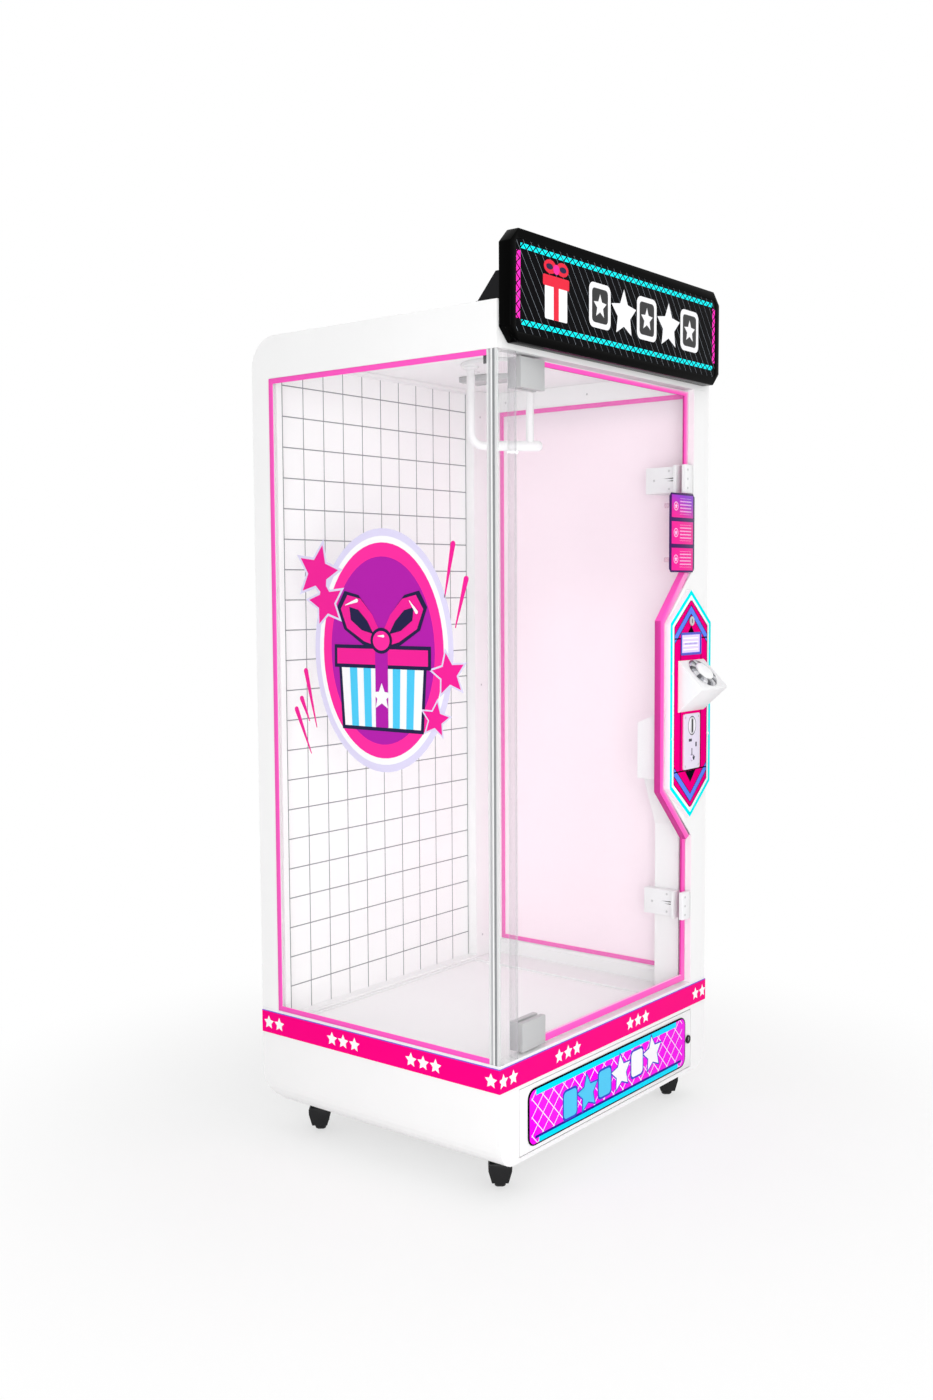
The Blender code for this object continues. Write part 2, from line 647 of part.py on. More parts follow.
def make_strike(name, middle, hinge):
    """A clamp on the door's free edge, with the drilled hook that enters the lock case."""
    z = (middle - STRIKE_HEIGHT / 2, middle + STRIKE_HEIGHT / 2)
    left, edge = DOOR_RIGHT - 0.031, DOOR_RIGHT + FIT
    rear = DOOR_GLASS_REAR + 0.0085
    strike = box(name, (left, edge + 0.0025), (behind(0.0005), behind(rear)), z, painted())
    slit = tool_box((left - 1, edge), (behind(DOOR_FACE) - FIT, behind(DOOR_GLASS_REAR) + FIT), (0, 3))
    hook_x = (HOOK_X, HOOK_X + HOOK_THICKNESS)
    hook = tool_box(hook_x, (behind(rear - 0.002), behind(BOLT_DEPTH + 0.008)), centred(middle, 0.012))
    bolt_y = behind(BOLT_DEPTH)
    keeper = tool_rod(
        (hook_x[0] - 0.004, bolt_y, middle), (hook_x[1] + 0.003, bolt_y, middle), BOLT_RADIUS + 0.0004
    )
    settle(cut(unite(cut(strike, slit), hook), keeper), hinge)


def make_instruction_card(hinge):
    low, high = (DOOR_RIGHT - 0.1115, PANEL_Z + 0.3185), (DOOR_RIGHT + 0.0045, PANEL_Z + 0.5065)
    outline = rounded_rectangle(low, high, (0.008,) * 4, 1)
    face = behind(-0.0015) - THIN_SHEET
    rear = face + THIN_SHEET
    card = prism("instruction_card", outline, "y", face, rear, material("card_purple", PURPLE, 0.3))
    stands = [
        tool_rod((low[0] + 0.016, rear - 0.001, z), (low[0] + 0.016, behind(DOOR_GLASS_FACE) - FIT, z), 0.006, 16)
        for z in (low[1] + 0.030, high[1] - 0.030)
    ]
    settle(unite(card, *stands), hinge)


def make_lock(name, middle, right):
    """A lock case with a slot for the door's hook, and the bolt that crosses the slot."""
    z = (middle - LOCK_HEIGHT / 2, middle + LOCK_HEIGHT / 2)
    depth = (behind(LOCK_FRONT), behind(LOCK_FRONT + LOCK_DEPTH))
    case = box(f"{name}_lock_case", (HOOK_X - 0.009, right), depth, z, painted())
    slot_right = HOOK_X + HOOK_THICKNESS + 0.0035
    slot_depth = (behind(LOCK_FRONT - 0.007), behind(BOLT_DEPTH + 0.016))
    slot = tool_box((HOOK_X - 0.003, slot_right), slot_depth, centred(middle, 0.016))
    bolt_y = behind(BOLT_DEPTH)
    bolt_x = (slot_right + FIT, slot_right + FIT + BOLT_LENGTH)
    bore = tool_rod((HOOK_X + 0.001, bolt_y, middle), (bolt_x[1] + 0.0004, bolt_y, middle), BOLT_RADIUS + 0.0004)
    settle(cut(case, slot, bore))
    bolt = rod(f"{name}_lock_bolt", (bolt_x[0], bolt_y, middle), (bolt_x[1], bolt_y, middle), BOLT_RADIUS, grey_steel())
    settle(bolt, None, (bolt_x[0], bolt_y, middle))


# ---------------------------------------------------------------- service door
def make_service_door():
    hinge = pivot("service_door_pivot", (-SERVICE_HALF_WIDTH + 0.002, FRONT + 0.002, SERVICE_LOW))
    lock_x, lock_z = SERVICE_LOCK_X, SERVICE_LOCK_Z
    door = box(
        "service_door", (-SERVICE_HALF_WIDTH, SERVICE_HALF_WIDTH), (FRONT, FRONT + SHEET),
        (SERVICE_LOW, SERVICE_HIGH), painted(),
    )
    bore = tool_rod((lock_x, FRONT - 0.01, lock_z), (lock_x, FRONT + 0.01, lock_z), LOCK_BARREL + 0.0002)
    settle(cut(door, bore), hinge)
    outline = rounded_rectangle(GRAPHIC_LOW, GRAPHIC_HIGH, (GRAPHIC_CORNER,) * 4, 5)
    settle(prism(
        "service_graphic", outline, "y", FRONT - FIT - THIN_SHEET, FRONT - FIT, material("graphic", MAGENTA, 0.2)
    ), hinge)

    nose = (lock_x, FRONT - 0.003, lock_z)
    barrel = rod("service_lock", nose, (lock_x, FRONT + SHEET + 0.010, lock_z), LOCK_BARREL, grey_steel())
    head = tool_rod(nose, (lock_x, FRONT - FIT, lock_z), LOCK_BARREL + 0.0025)
    cam = tool_box(
        centred(lock_x, 0.012), (FRONT + SHEET + 0.0055, FRONT + SHEET + 0.008), (lock_z - 0.030, lock_z + 0.006)
    )
    settle(unite(barrel, head, cam), hinge, (lock_x, FRONT, lock_z))


# ---------------------------------------------------------------- controls
def panel_outline():
    """The six-sided control panel in (x, z)."""
    right = PANEL_X + PANEL_HALF_WIDTH
    low, high = PANEL_Z - PANEL_SHOULDER, PANEL_Z + PANEL_SHOULDER
    return [
        (PANEL_LEFT, low), (PANEL_X, PANEL_Z - PANEL_APEX), (right, low),
        (right, high), (PANEL_X, PANEL_Z + PANEL_APEX), (PANEL_LEFT, high),
    ]


def centred(middle, size):
    return middle - size / 2, middle + size / 2


def make_control_panel():
    face = FRONT - PANEL_PROUD
    rear = FRONT - FIT
    panel = prism("control_panel", panel_outline(), "y", face, rear, material("panel_pink", MAGENTA, 0.25))
    through = (face - 0.01, rear + 0.01)
    display_z = centred(DISPLAY_Z, DISPLAY_SIZE[1])
    pocket = tool_box(centred(PANEL_X, DISPLAY_SIZE[0]), (face - 0.01, face + DISPLAY_POCKET), display_z)
    key_bore = tool_rod((PANEL_X, through[0], KEY_Z), (PANEL_X, rear - 0.001, KEY_Z), KEY_RADIUS + 0.0003)
    slot = tool_box(centred(PANEL_X, COIN_SLOT[0]), through, centred(COIN_SLOT_Z, COIN_SLOT[1]))
    button = tool_box(
        centred(PANEL_X, RETURN_BUTTON[0] + 0.001), through, centred(RETURN_BUTTON_Z, RETURN_BUTTON[1] + 0.001)
    )
    settle(cut(panel, pocket, key_bore, slot, button))

    shrink = 2 * FIT
    settle(box(
        "display_screen", centred(PANEL_X, DISPLAY_SIZE[0] - shrink), (face + 0.0005, face + DISPLAY_POCKET - FIT),
        centred(DISPLAY_Z, DISPLAY_SIZE[1] - shrink), material("display", (0.80, 0.78, 1.0), 0.1),
    ))
    key = rod("key_switch", (PANEL_X, face - 0.003, KEY_Z), (PANEL_X, rear - 0.002, KEY_Z), KEY_RADIUS, grey_steel())
    rim = tool_rod((PANEL_X, face - 0.003, KEY_Z), (PANEL_X, face - FIT, KEY_Z), KEY_RADIUS + 0.003)
    keyway = tool_box(centred(PANEL_X, 0.0022), (face - 0.01, face + 0.005), centred(KEY_Z, 0.009))
    settle(cut(unite(key, rim), keyway), None, (PANEL_X, face, KEY_Z))


def make_coin_unit():
    face = FRONT - PANEL_PROUD - FIT
    outline = rounded_rectangle(
        (PANEL_X - COIN_PLATE_SIZE[0] / 2, COIN_PLATE_Z - COIN_PLATE_SIZE[1] / 2),
        (PANEL_X + COIN_PLATE_SIZE[0] / 2, COIN_PLATE_Z + COIN_PLATE_SIZE[1] / 2), (0.006,) * 4, 3,
    )
    plate = prism("coin_plate", outline, "y", face - COIN_PLATE_THICKNESS, face, grey_steel())
    slot = tool_box(centred(PANEL_X, COIN_SLOT[0]), (-1, 0), centred(COIN_SLOT_Z, COIN_SLOT[1]))
    window = tool_box(
        centred(PANEL_X, RETURN_BUTTON[0] + 0.001), (-1, 0), centred(RETURN_BUTTON_Z, RETURN_BUTTON[1] + 0.001)
    )
    settle(cut(plate, slot, window))
    nose = face - COIN_PLATE_THICKNESS - 0.005
    button = box(
        "coin_return_button", centred(PANEL_X, RETURN_BUTTON[0]), (nose, nose + 0.018),
        centred(RETURN_BUTTON_Z, RETURN_BUTTON[1]), material("black_plastic", BLACK, 0.4),
    )
    settle(button, None, (PANEL_X, nose, RETURN_BUTTON_Z))

    # The acceptor hangs behind the plate: a hollow box with a sloping top, a slot in its front and an open bottom.
    front, rear = behind(THIN_SHEET + FIT), behind(ACCEPTOR_DEPTH)
    low, wall = ACCEPTOR_LOW, COIN_WALL
    outer = [(front, low), (rear, low), (rear, ACCEPTOR_SLOPE), (front, ACCEPTOR_HIGH)]
    inner = [(front + wall, low - 0.01), (rear - wall, low - 0.01), (rear - wall, ACCEPTOR_SLOPE - wall),
             (front + wall, ACCEPTOR_HIGH - wall)]
    acceptor = prism("coin_acceptor_box", outer, "x", *ACCEPTOR_X, material("dull_plastic", WHITE, 0.5))
    hollow = tool_prism(inner, "x", ACCEPTOR_X[0] + wall, ACCEPTOR_X[1] - wall)
    mouth = tool_box(centred(PANEL_X, 0.008), (front - 0.01, front + 0.01), centred(COIN_SLOT_Z, 0.040))
    settle(cut(acceptor, hollow, mouth))


def make_coin_duct():
    """A sheet channel, open to the rear, that leads coins from the acceptor down through the deck."""
    (left, right), (front, rear) = duct_footprint(0)
    top = ACCEPTOR_LOW - FIT
    low = DECK_TOP + FIT
    wall = COIN_WALL
    mouth_right = ACCEPTOR_X[1] - 0.001
    mouth_left = mouth_right - 0.054
    bend_right, bend_left = ACCEPTOR_LOW - 0.075, ACCEPTOR_LOW - 0.130
    outer = [(left, low), (right, low), (right, bend_right), (mouth_right, top), (mouth_left, top), (left, bend_left)]
    inner = [
        (left + wall, low - 1), (right - wall, low - 1), (right - wall, bend_right - 0.001),
        (mouth_right - 0.0015, top + 0.01), (mouth_left + 0.0025, top + 0.01), (mouth_left + 0.003, top - 0.001),
        (left + wall, bend_left + 0.0005),
    ]
    duct = prism("coin_duct", outer, "y", front, rear, painted())
    settle(cut(duct, tool_prism(inner, "y", front + wall, rear + 1)))

    # The cash box hangs from the deck's underside, just under the duct.
    box_x = (left - CASH_BOX_EXTRA, right)
    box_y = (front - 0.006, rear + 0.020)
    top = SHELL_TOP
    low = top - CASH_BOX_HEIGHT
    cash = box("cash_box", box_x, box_y, (low, top), grey_steel())
    hollow = tool_box((box_x[0] + wall, box_x[1] - wall), (box_y[0] + wall, box_y[1] - wall), (low + wall, 1))
    settle(cut(cash, hollow))


def make_start_button():
    rear = FRONT - PANEL_PROUD - FIT
    nose = FRONT - BUTTON_REACH
    blunt = 0.003
    outline = [
        (rear, BUTTON_HOUSING_TOP), (nose, BUTTON_HOUSING_NOSE + blunt), (nose, BUTTON_HOUSING_NOSE - blunt),
        (rear, BUTTON_HOUSING_BOTTOM),
    ]
    half = BUTTON_HOUSING_WIDTH / 2
    housing = prism("button_housing", outline, "x", PANEL_X - half, PANEL_X + half, painted())
    down = Vector((0, nose - rear, BUTTON_HOUSING_NOSE + blunt - BUTTON_HOUSING_TOP)).normalized()
    out = Vector((1, 0, 0)).cross(down).normalized()
    out = out if out.z > 0 else -out
    middle = Vector((PANEL_X, (rear + nose) / 2, (BUTTON_HOUSING_TOP + BUTTON_HOUSING_NOSE + blunt) / 2))
    bore = tool_rod(middle - 0.022 * out, middle + 0.02 * out, CAP_RADIUS + 0.002, 28)
    settle(cut(housing, bore))

    turn = Matrix.Translation(middle) @ out.to_track_quat("Z", "Y").to_matrix().to_4x4()
    hole = CAP_RADIUS + 0.0008
    ring = [(hole, FIT), (BEZEL_RADIUS, FIT), (BEZEL_RADIUS, 0.0015), (BEZEL_RADIUS - 0.004, 0.0055),
            (hole + 0.002, 0.0065), (hole, 0.0060)]
    settle(lathe("button_bezel", ring, material("chrome", STEEL, 0.1, 1.0), 28, turn))
    dome = [(0, -0.014), (CAP_RADIUS, -0.014), (CAP_RADIUS, 0.0085), (CAP_RADIUS - 0.0025, 0.0115),
            (CAP_RADIUS * 0.55, 0.0135), (0, 0.0142)]
    settle(lathe("start_button_cap", dome, painted(), 28, turn), None, middle)


# ---------------------------------------------------------------- sign
def make_sign():
    rear = FRONT - FIT
    front = FRONT - SIGN_DEPTH
    outline = rounded_rectangle((-SIGN_HALF_WIDTH, SIGN_LOW), (SIGN_HALF_WIDTH, SIGN_HIGH), (SIGN_CORNER,) * 4, 1)
    sign = prism("sign_box", outline, "y", front, rear, material("black_plastic", BLACK, 0.4))
    radius = SIGN_CORNER - 0.018
    low = (-SIGN_HALF_WIDTH + SIGN_RIM, SIGN_LOW + SIGN_RIM)
    high = (SIGN_HALF_WIDTH - SIGN_RIM, SIGN_HIGH - SIGN_RIM)
    pocket = rounded_rectangle(low, high, (radius,) * 4, 3)
    settle(cut(sign, tool_prism(pocket, "y", front - 0.01, front + SIGN_RECESS)))
    face_low = (low[0] + FIT, low[1] + FIT)
    face_high = (high[0] - FIT, high[1] - FIT)
    face = rounded_rectangle(face_low, face_high, (radius - FIT,) * 4, 3)
    settle(prism("sign_face", face, "y", front + 0.0015, front + SIGN_RECESS - FIT, material("sign", BLACK, 0.15)))

    base = CABINET_TOP + FIT
    half = SIGN_HALF_WIDTH - 0.005
    bracket = box("sign_bracket", (-half, half), (FRONT, behind(0.060)), (base, base + THIN_SHEET),
                  material("black_steel", BLACK, 0.45, 0.5))
    top = base + GUSSET_HEIGHT
    triangle = [(FRONT, base), (behind(0.058), base), (behind(0.010), top), (FRONT, top)]
    gussets = [tool_prism(triangle, "x", x, x + THIN_SHEET) for x in (-half, half - THIN_SHEET)]
    settle(unite(bracket, *gussets))


# ---------------------------------------------------------------- cutter
def make_cutter():
    centre = Vector((0, behind(ARM_DEPTH), 0))
    across = Vector((math.cos(ARM_TURN), math.sin(ARM_TURN), 0))

    def at(reach, height):
        return centre + across * reach + Vector((0, 0, height))

    plate_top = CEILING_BOTTOM - 0.0005
    plate_low = plate_top - 0.008
    paint = material("arm_white", WHITE, 0.3)
    arm = rod("cutter_arm", at(0, plate_low), at(0, plate_top), ARM_DISC, paint, 28)
    bend = [
        at(-ARM_HALF_SPAN + ARM_BEND * (1 - math.cos(a)), ARM_BAR_Z + ARM_BEND * (1 - math.sin(a)))
        for a in (math.radians(15 * k) for k in range(7))
    ]
    rear_leg = tube("tool", [at(-ARM_HALF_SPAN, plate_low + 0.004), *bend, at(0.010, ARM_BAR_Z)], ARM_TUBE, paint)
    front_leg = tool_rod(at(ARM_HALF_SPAN, ARM_BAR_Z), at(ARM_HALF_SPAN, plate_low + 0.004), ARM_TUBE * 0.97, 16)
    spindle = tool_rod(at(0, plate_top - 0.002), at(0, CEILING_BOTTOM + 0.020), SPINDLE, 20)
    half_round = arc((0, 0), ARM_SLEEVE, 0, 90, 4)
    profile = [(0, 0), (ARM_SLEEVE - 0.001, 0)] + [(r, SLEEVE_LENGTH + h) for r, h in half_round]
    turn = Matrix.Translation(at(-0.034, ARM_BAR_Z)) @ across.to_track_quat("Z", "Y").to_matrix().to_4x4()
    sleeve = lathe("tool", profile, paint, 20, turn)
    arm = unite(arm, rear_leg, front_leg, spindle, sleeve)

    side = across.cross(Vector((0, 0, 1)))
    slot = beam("tool", at(0.034, ARM_BAR_Z - 0.010), across, side, (0.044, 0.0046, 0.014), paint)
    arm = cut(arm, slot)
    settle(arm, None, at(0, plate_top))
    blade = beam("cutter_blade", at(0.028, ARM_BAR_Z - 0.0115), across, side, (0.026, 0.0040, 0.0125), grey_steel())
    settle(blade)

    drive = box(
        "arm_drive", centred(0, DRIVE_WIDTH), centred(centre.y, DRIVE_WIDTH),
        (CEILING_BOTTOM + THIN_SHEET + FIT, CABINET_TOP - SHEET - 0.003), material("black_steel", BLACK, 0.45, 0.5),
    )
    settle(cut(drive, tool_rod(at(0, plate_low), at(0, CEILING_BOTTOM + 0.022), SPINDLE + 0.0004, 20)))


def beam(name, middle, along, side, size, skin):
    """A box turned to lie along a direction."""
    shape = bmesh.new()
    bmesh.ops.create_cube(shape, size=1)
    up = Vector((0, 0, 1))
    turn = Matrix((along * size[0], side * size[1], up * size[2])).transposed().to_4x4()
    bmesh.ops.transform(shape, matrix=Matrix.Translation(middle) @ turn, verts=shape.verts)
    return solid(name, shape, skin)


# ---------------------------------------------------------------- power inlet
def make_power_inlet():
    rear = BACK + FIT + INLET_FLANGE
    low = (INLET_X - INLET_SIZE[0] / 2, INLET_Z - INLET_SIZE[1] / 2)
    high = (INLET_X + INLET_SIZE[0] / 2, INLET_Z + INLET_SIZE[1] / 2)
    outline = rounded_rectangle(low, high, (0.003,) * 4, 2)
    plastic = material("black_plastic", BLACK, 0.4)
    inlet = prism("power_inlet", outline, "y", BACK + FIT, rear, plastic)
    body = tool_box(centred(INLET_X, 0.068), (BACK - 0.026, rear - 0.001), centred(INLET_Z, 0.028))
    socket = tool_box((INLET_X - 0.030, INLET_X - 0.004), (rear - 0.018, rear + 0.01), centred(INLET_Z, 0.020))
    well = tool_box((INLET_X + 0.006, INLET_X + 0.030), (rear - 0.016, rear + 0.01), centred(INLET_Z, 0.016))
    settle(cut(unite(inlet, body), socket, well))
    # The rocker is a shallow V that tips in its well about an upright axis.
    middle = INLET_X + 0.018
    outline = [
        (middle - 0.0105, rear - 0.0035), (middle + 0.0105, rear - 0.0005), (middle + 0.0080, rear - 0.0110),
        (middle, rear - 0.0130), (middle - 0.0080, rear - 0.0110),
    ]
    rocker = prism("power_switch", outline, "z", INLET_Z - 0.0075, INLET_Z + 0.0075, plastic)
    settle(rocker, None, (middle, rear - 0.0080, INLET_Z))


# ---------------------------------------------------------------- casters
def make_caster(name, x, y):
    """A swivel fork under the base and the wheel on its axle."""
    swivel = pivot(f"{name}_swivel", (x, y, FLOOR_GAP))
    ahead = Vector((math.cos(CASTER_YAW), math.sin(CASTER_YAW), 0))
    axle = Vector((-ahead.y, ahead.x, 0))
    hub = Vector((x, y, WHEEL_RADIUS)) + ahead * CASTER_TRAIL
    skin = material("black_plastic", BLACK, 0.4)
    top = FLOOR_GAP - FIT
    crown = WHEEL_RADIUS * 2 + 0.004
    fork = rod(f"{name}_fork", (x, y, crown + 0.004), (x, y, top), 0.021, skin, 20)
    half = WHEEL_WIDTH / 2 + 0.001
    cheek = 0.003
    bridge = beam(
        "tool", Vector((x, y, crown + 0.0025)) + ahead * CASTER_TRAIL * 0.5, ahead, axle,
        (0.040, 2 * (half + cheek) + 0.001, 0.005), skin,
    )
    cheeks = [
        beam("tool", hub + axle * offset + Vector((0, 0, 0.0135)) - ahead * 0.003, ahead, axle,
             (0.024, cheek, 0.0350), skin)
        for offset in (-half - cheek / 2, half + cheek / 2)
    ]
    pin = tool_rod(hub - axle * (half + cheek + 0.002), hub + axle * (half + cheek + 0.002), AXLE_RADIUS, 20)
    settle(unite(fork, bridge, *cheeks, pin), swivel)

    bore = (AXLE_RADIUS + AXLE_CLEARANCE) / math.cos(math.pi / 24)
    edge = WHEEL_WIDTH / 2
    profile = [
        (bore, -edge), (0.012, -edge), (0.019, -edge * 0.80), (WHEEL_RADIUS - 0.002, -edge * 0.62),
        (WHEEL_RADIUS, -edge * 0.38), (WHEEL_RADIUS, edge * 0.38), (WHEEL_RADIUS - 0.002, edge * 0.62),
        (0.019, edge * 0.80), (0.012, edge), (bore, edge),
    ]
    turn = Matrix.Translation(hub) @ axle.to_track_quat("Z", "Y").to_matrix().to_4x4()
    settle(lathe(f"{name}_wheel", profile, material("tyre", BLACK, 0.7), 24, turn), swivel, hub)


# ---------------------------------------------------------------- the object
def main():
    for old in list(bpy.data.objects):
        bpy.data.objects.remove(old)
    make_base_shell()
    make_deck_and_sill()
    make_waist_band()
    make_side_frames()
    make_back_and_roof()
    make_rear_frame()
    make_linings()
    make_header()
    make_front_right_post()
    make_corner()
    make_left_window_trim()

    hinge = pivot("front_door_pivot", (HINGE_X, behind(DOOR_AXIS_DEPTH), UPRIGHT_LOW))
    make_front_door(hinge)
    make_hinge_patch("upper_hinge_patch", DOOR_HIGH - PATCH_HEIGHT, DOOR_HIGH, HEADER_LOW - 0.001, hinge)
    make_hinge_patch("lower_hinge_patch", DOOR_LOW, DOOR_LOW + PATCH_HEIGHT, UPRIGHT_LOW + 0.001, hinge)
    make_strike("upper_strike", UPPER_LOCK_Z, hinge)
    make_strike("lower_strike", LOWER_LOCK_Z, hinge)
    make_instruction_card(hinge)
    make_lock("upper", UPPER_LOCK_Z, INNER - LINER_THICKNESS - FIT)
    make_lock("lower", LOWER_LOCK_Z, DUCT_LEFT - FIT)

    make_service_door()
    make_control_panel()
    make_coin_unit()
    make_coin_duct()
    make_start_button()
    make_sign()
    make_cutter()
    make_power_inlet()
    for side, x in (("left", -CASTER_X), ("right", CASTER_X)):
        for end, depth in (("front", CASTER_FRONT), ("rear", CASTER_REAR)):
            make_caster(f"{end}_{side}_caster", x, behind(depth))


main()
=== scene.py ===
"""Looks of a glass-fronted prize-cutting crane cabinet: finishes, film, glass, fittings and studio."""

import functools
import logging
import math
from collections.abc import Iterable, Sequence
from dataclasses import dataclass
from enum import Enum

import bmesh
import bpy
from mathutils import Matrix, Vector


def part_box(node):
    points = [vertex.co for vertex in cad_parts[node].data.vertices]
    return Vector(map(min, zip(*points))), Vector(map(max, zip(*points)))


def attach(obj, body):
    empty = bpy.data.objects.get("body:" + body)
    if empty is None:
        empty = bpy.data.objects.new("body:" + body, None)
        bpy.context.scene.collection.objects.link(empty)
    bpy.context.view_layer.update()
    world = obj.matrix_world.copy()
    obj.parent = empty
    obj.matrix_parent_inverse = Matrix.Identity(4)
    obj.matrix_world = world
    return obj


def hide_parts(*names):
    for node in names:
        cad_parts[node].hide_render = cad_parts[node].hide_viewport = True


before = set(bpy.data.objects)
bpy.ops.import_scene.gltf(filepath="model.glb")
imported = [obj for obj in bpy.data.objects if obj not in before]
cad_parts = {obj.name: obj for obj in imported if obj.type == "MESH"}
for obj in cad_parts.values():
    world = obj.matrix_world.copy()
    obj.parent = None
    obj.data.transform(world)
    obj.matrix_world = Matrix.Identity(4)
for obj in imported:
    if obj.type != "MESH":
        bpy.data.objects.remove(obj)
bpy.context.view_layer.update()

Point2 = tuple[float, float]
Point3 = tuple[float, float, float]
Outline = Sequence[Point2]
Colour = tuple[float, float, float]

LOG = logging.getLogger("cabinet")
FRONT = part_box("front_header")[0].y  # front face of the cabinet
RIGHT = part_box("right_side_frame")[1].x  # right side of the cabinet
SHARP = math.radians(25)  # edges turned more than this are rounded
CREASE = math.radians(34)  # edges turned more than this are shaded sharp
FIT = 0.0003  # gap between two pieces that touch
FILM = 0.00015  # printed film
LAP = 0.00002  # kept between a film and what is under it


def behind(depth: float) -> float:
    """Y of a plane this far behind the cabinet's front."""
    return FRONT + depth


class Axis(Enum):
    """A direction of the object, by its place among x, y and z."""

    X = 0
    Y = 1
    Z = 2

    def lift(self, point: Point2, level: float) -> Point3:
        """Puts a point of the two other axes, in their order, at a level on this one."""
        placed = [*point]
        placed.insert(self.value, level)
        return placed[0], placed[1], placed[2]

    def run(self, distance: float) -> Vector:
        """A move along this axis."""
        return Vector(self.lift((0.0, 0.0), 1.0)) * distance


def tint(code: str) -> Colour:
    """Linear colour of a six-digit display code.

    Args:
        code: red, green and blue as two hexadecimal digits each.

    Returns:
        The three linear components.
    """
    parts = (int(code[k : k + 2], 16) / 255 for k in (0, 2, 4))
    red, green, blue = (c / 12.92 if c <= 0.04045 else ((c + 0.055) / 1.055) ** 2.4 for c in parts)
    return red, green, blue


# ---------------------------------------------------------------- shader graphs
class Value:
    """A number inside a shader, with arithmetic. Comparisons give 0 or 1."""

    def __init__(self, graph: "Graph", socket: bpy.types.NodeSocket) -> None:
        """Wraps one output socket of a graph."""
        self.graph = graph
        self.socket = socket

    def __add__(self, other: "Number") -> "Value":
        """Sum."""
        return self.graph.math("ADD", self, other)

    def __radd__(self, other: "Number") -> "Value":
        """Sum, reflected."""
        return self.graph.math("ADD", other, self)

    def __sub__(self, other: "Number") -> "Value":
        """Difference."""
        return self.graph.math("SUBTRACT", self, other)

    def __rsub__(self, other: "Number") -> "Value":
        """Difference, reflected."""
        return self.graph.math("SUBTRACT", other, self)

    def __mul__(self, other: "Number") -> "Value":
        """Product."""
        return self.graph.math("MULTIPLY", self, other)

    def __rmul__(self, other: "Number") -> "Value":
        """Product, reflected."""
        return self.graph.math("MULTIPLY", other, self)

    def __truediv__(self, other: "Number") -> "Value":
        """Quotient."""
        return self.graph.math("DIVIDE", self, other)

    def __rtruediv__(self, other: "Number") -> "Value":
        """Quotient, reflected."""
        return self.graph.math("DIVIDE", other, self)

    def __mod__(self, other: "Number") -> "Value":
        """Remainder, never negative."""
        return self.graph.math("FLOORED_MODULO", self, other)

    def __pow__(self, other: "Number") -> "Value":
        """Power."""
        return self.graph.math("POWER", self, other)

    def __lt__(self, other: "Number") -> "Value":
        """1 where less."""
        return self.graph.math("LESS_THAN", self, other)

    def __gt__(self, other: "Number") -> "Value":
        """1 where greater."""
        return self.graph.math("GREATER_THAN", self, other)

    def __and__(self, other: "Number") -> "Value":
        """Both masks."""
        return self.graph.math("MULTIPLY", self, other)

    def __or__(self, other: "Number") -> "Value":
        """Either mask."""
        return self.graph.math("MAXIMUM", self, other)

    def __invert__(self) -> "Value":
        """The mask's opposite."""
        return 1 - self

    def __abs__(self) -> "Value":
        """Size without sign."""
        return self.graph.math("ABSOLUTE", self)

    def at_least(self, other: "Number") -> "Value":
        """The larger of the two."""
        return self.graph.math("MAXIMUM", self, other)

    def at_most(self, other: "Number") -> "Value":
        """The smaller of the two."""
        return self.graph.math("MINIMUM", self, other)

    def between(self, low: "Number", high: "Number") -> "Value":
        """1 from low to high."""
        return (self > low) & (self < high)

    def near(self, middle: float, half: float) -> "Value":
        """1 within half of the middle."""
        return self.graph.math("LESS_THAN", abs(self - middle), half)

    def wave(self, pitch: float) -> "Value":
        """Zigzag from 0 to half the pitch and back, once each pitch."""
        return self.graph.math("PINGPONG", self, pitch / 2)

    def ramp(self, low: float, high: float) -> "Value":
        """A smooth rise from 0 to 1.

        Args:
            low: where it starts.
            high: where it ends.

        Returns:
            The rise.
        """
        settings = {"interpolation_type": "SMOOTHSTEP"}
        inputs = {"Value": self, "From Min": low, "From Max": high}
        return Value(self.graph, self.graph.node("ShaderNodeMapRange", settings, inputs).outputs[0])


Number = Value | float
Layer = tuple[Value, Colour]


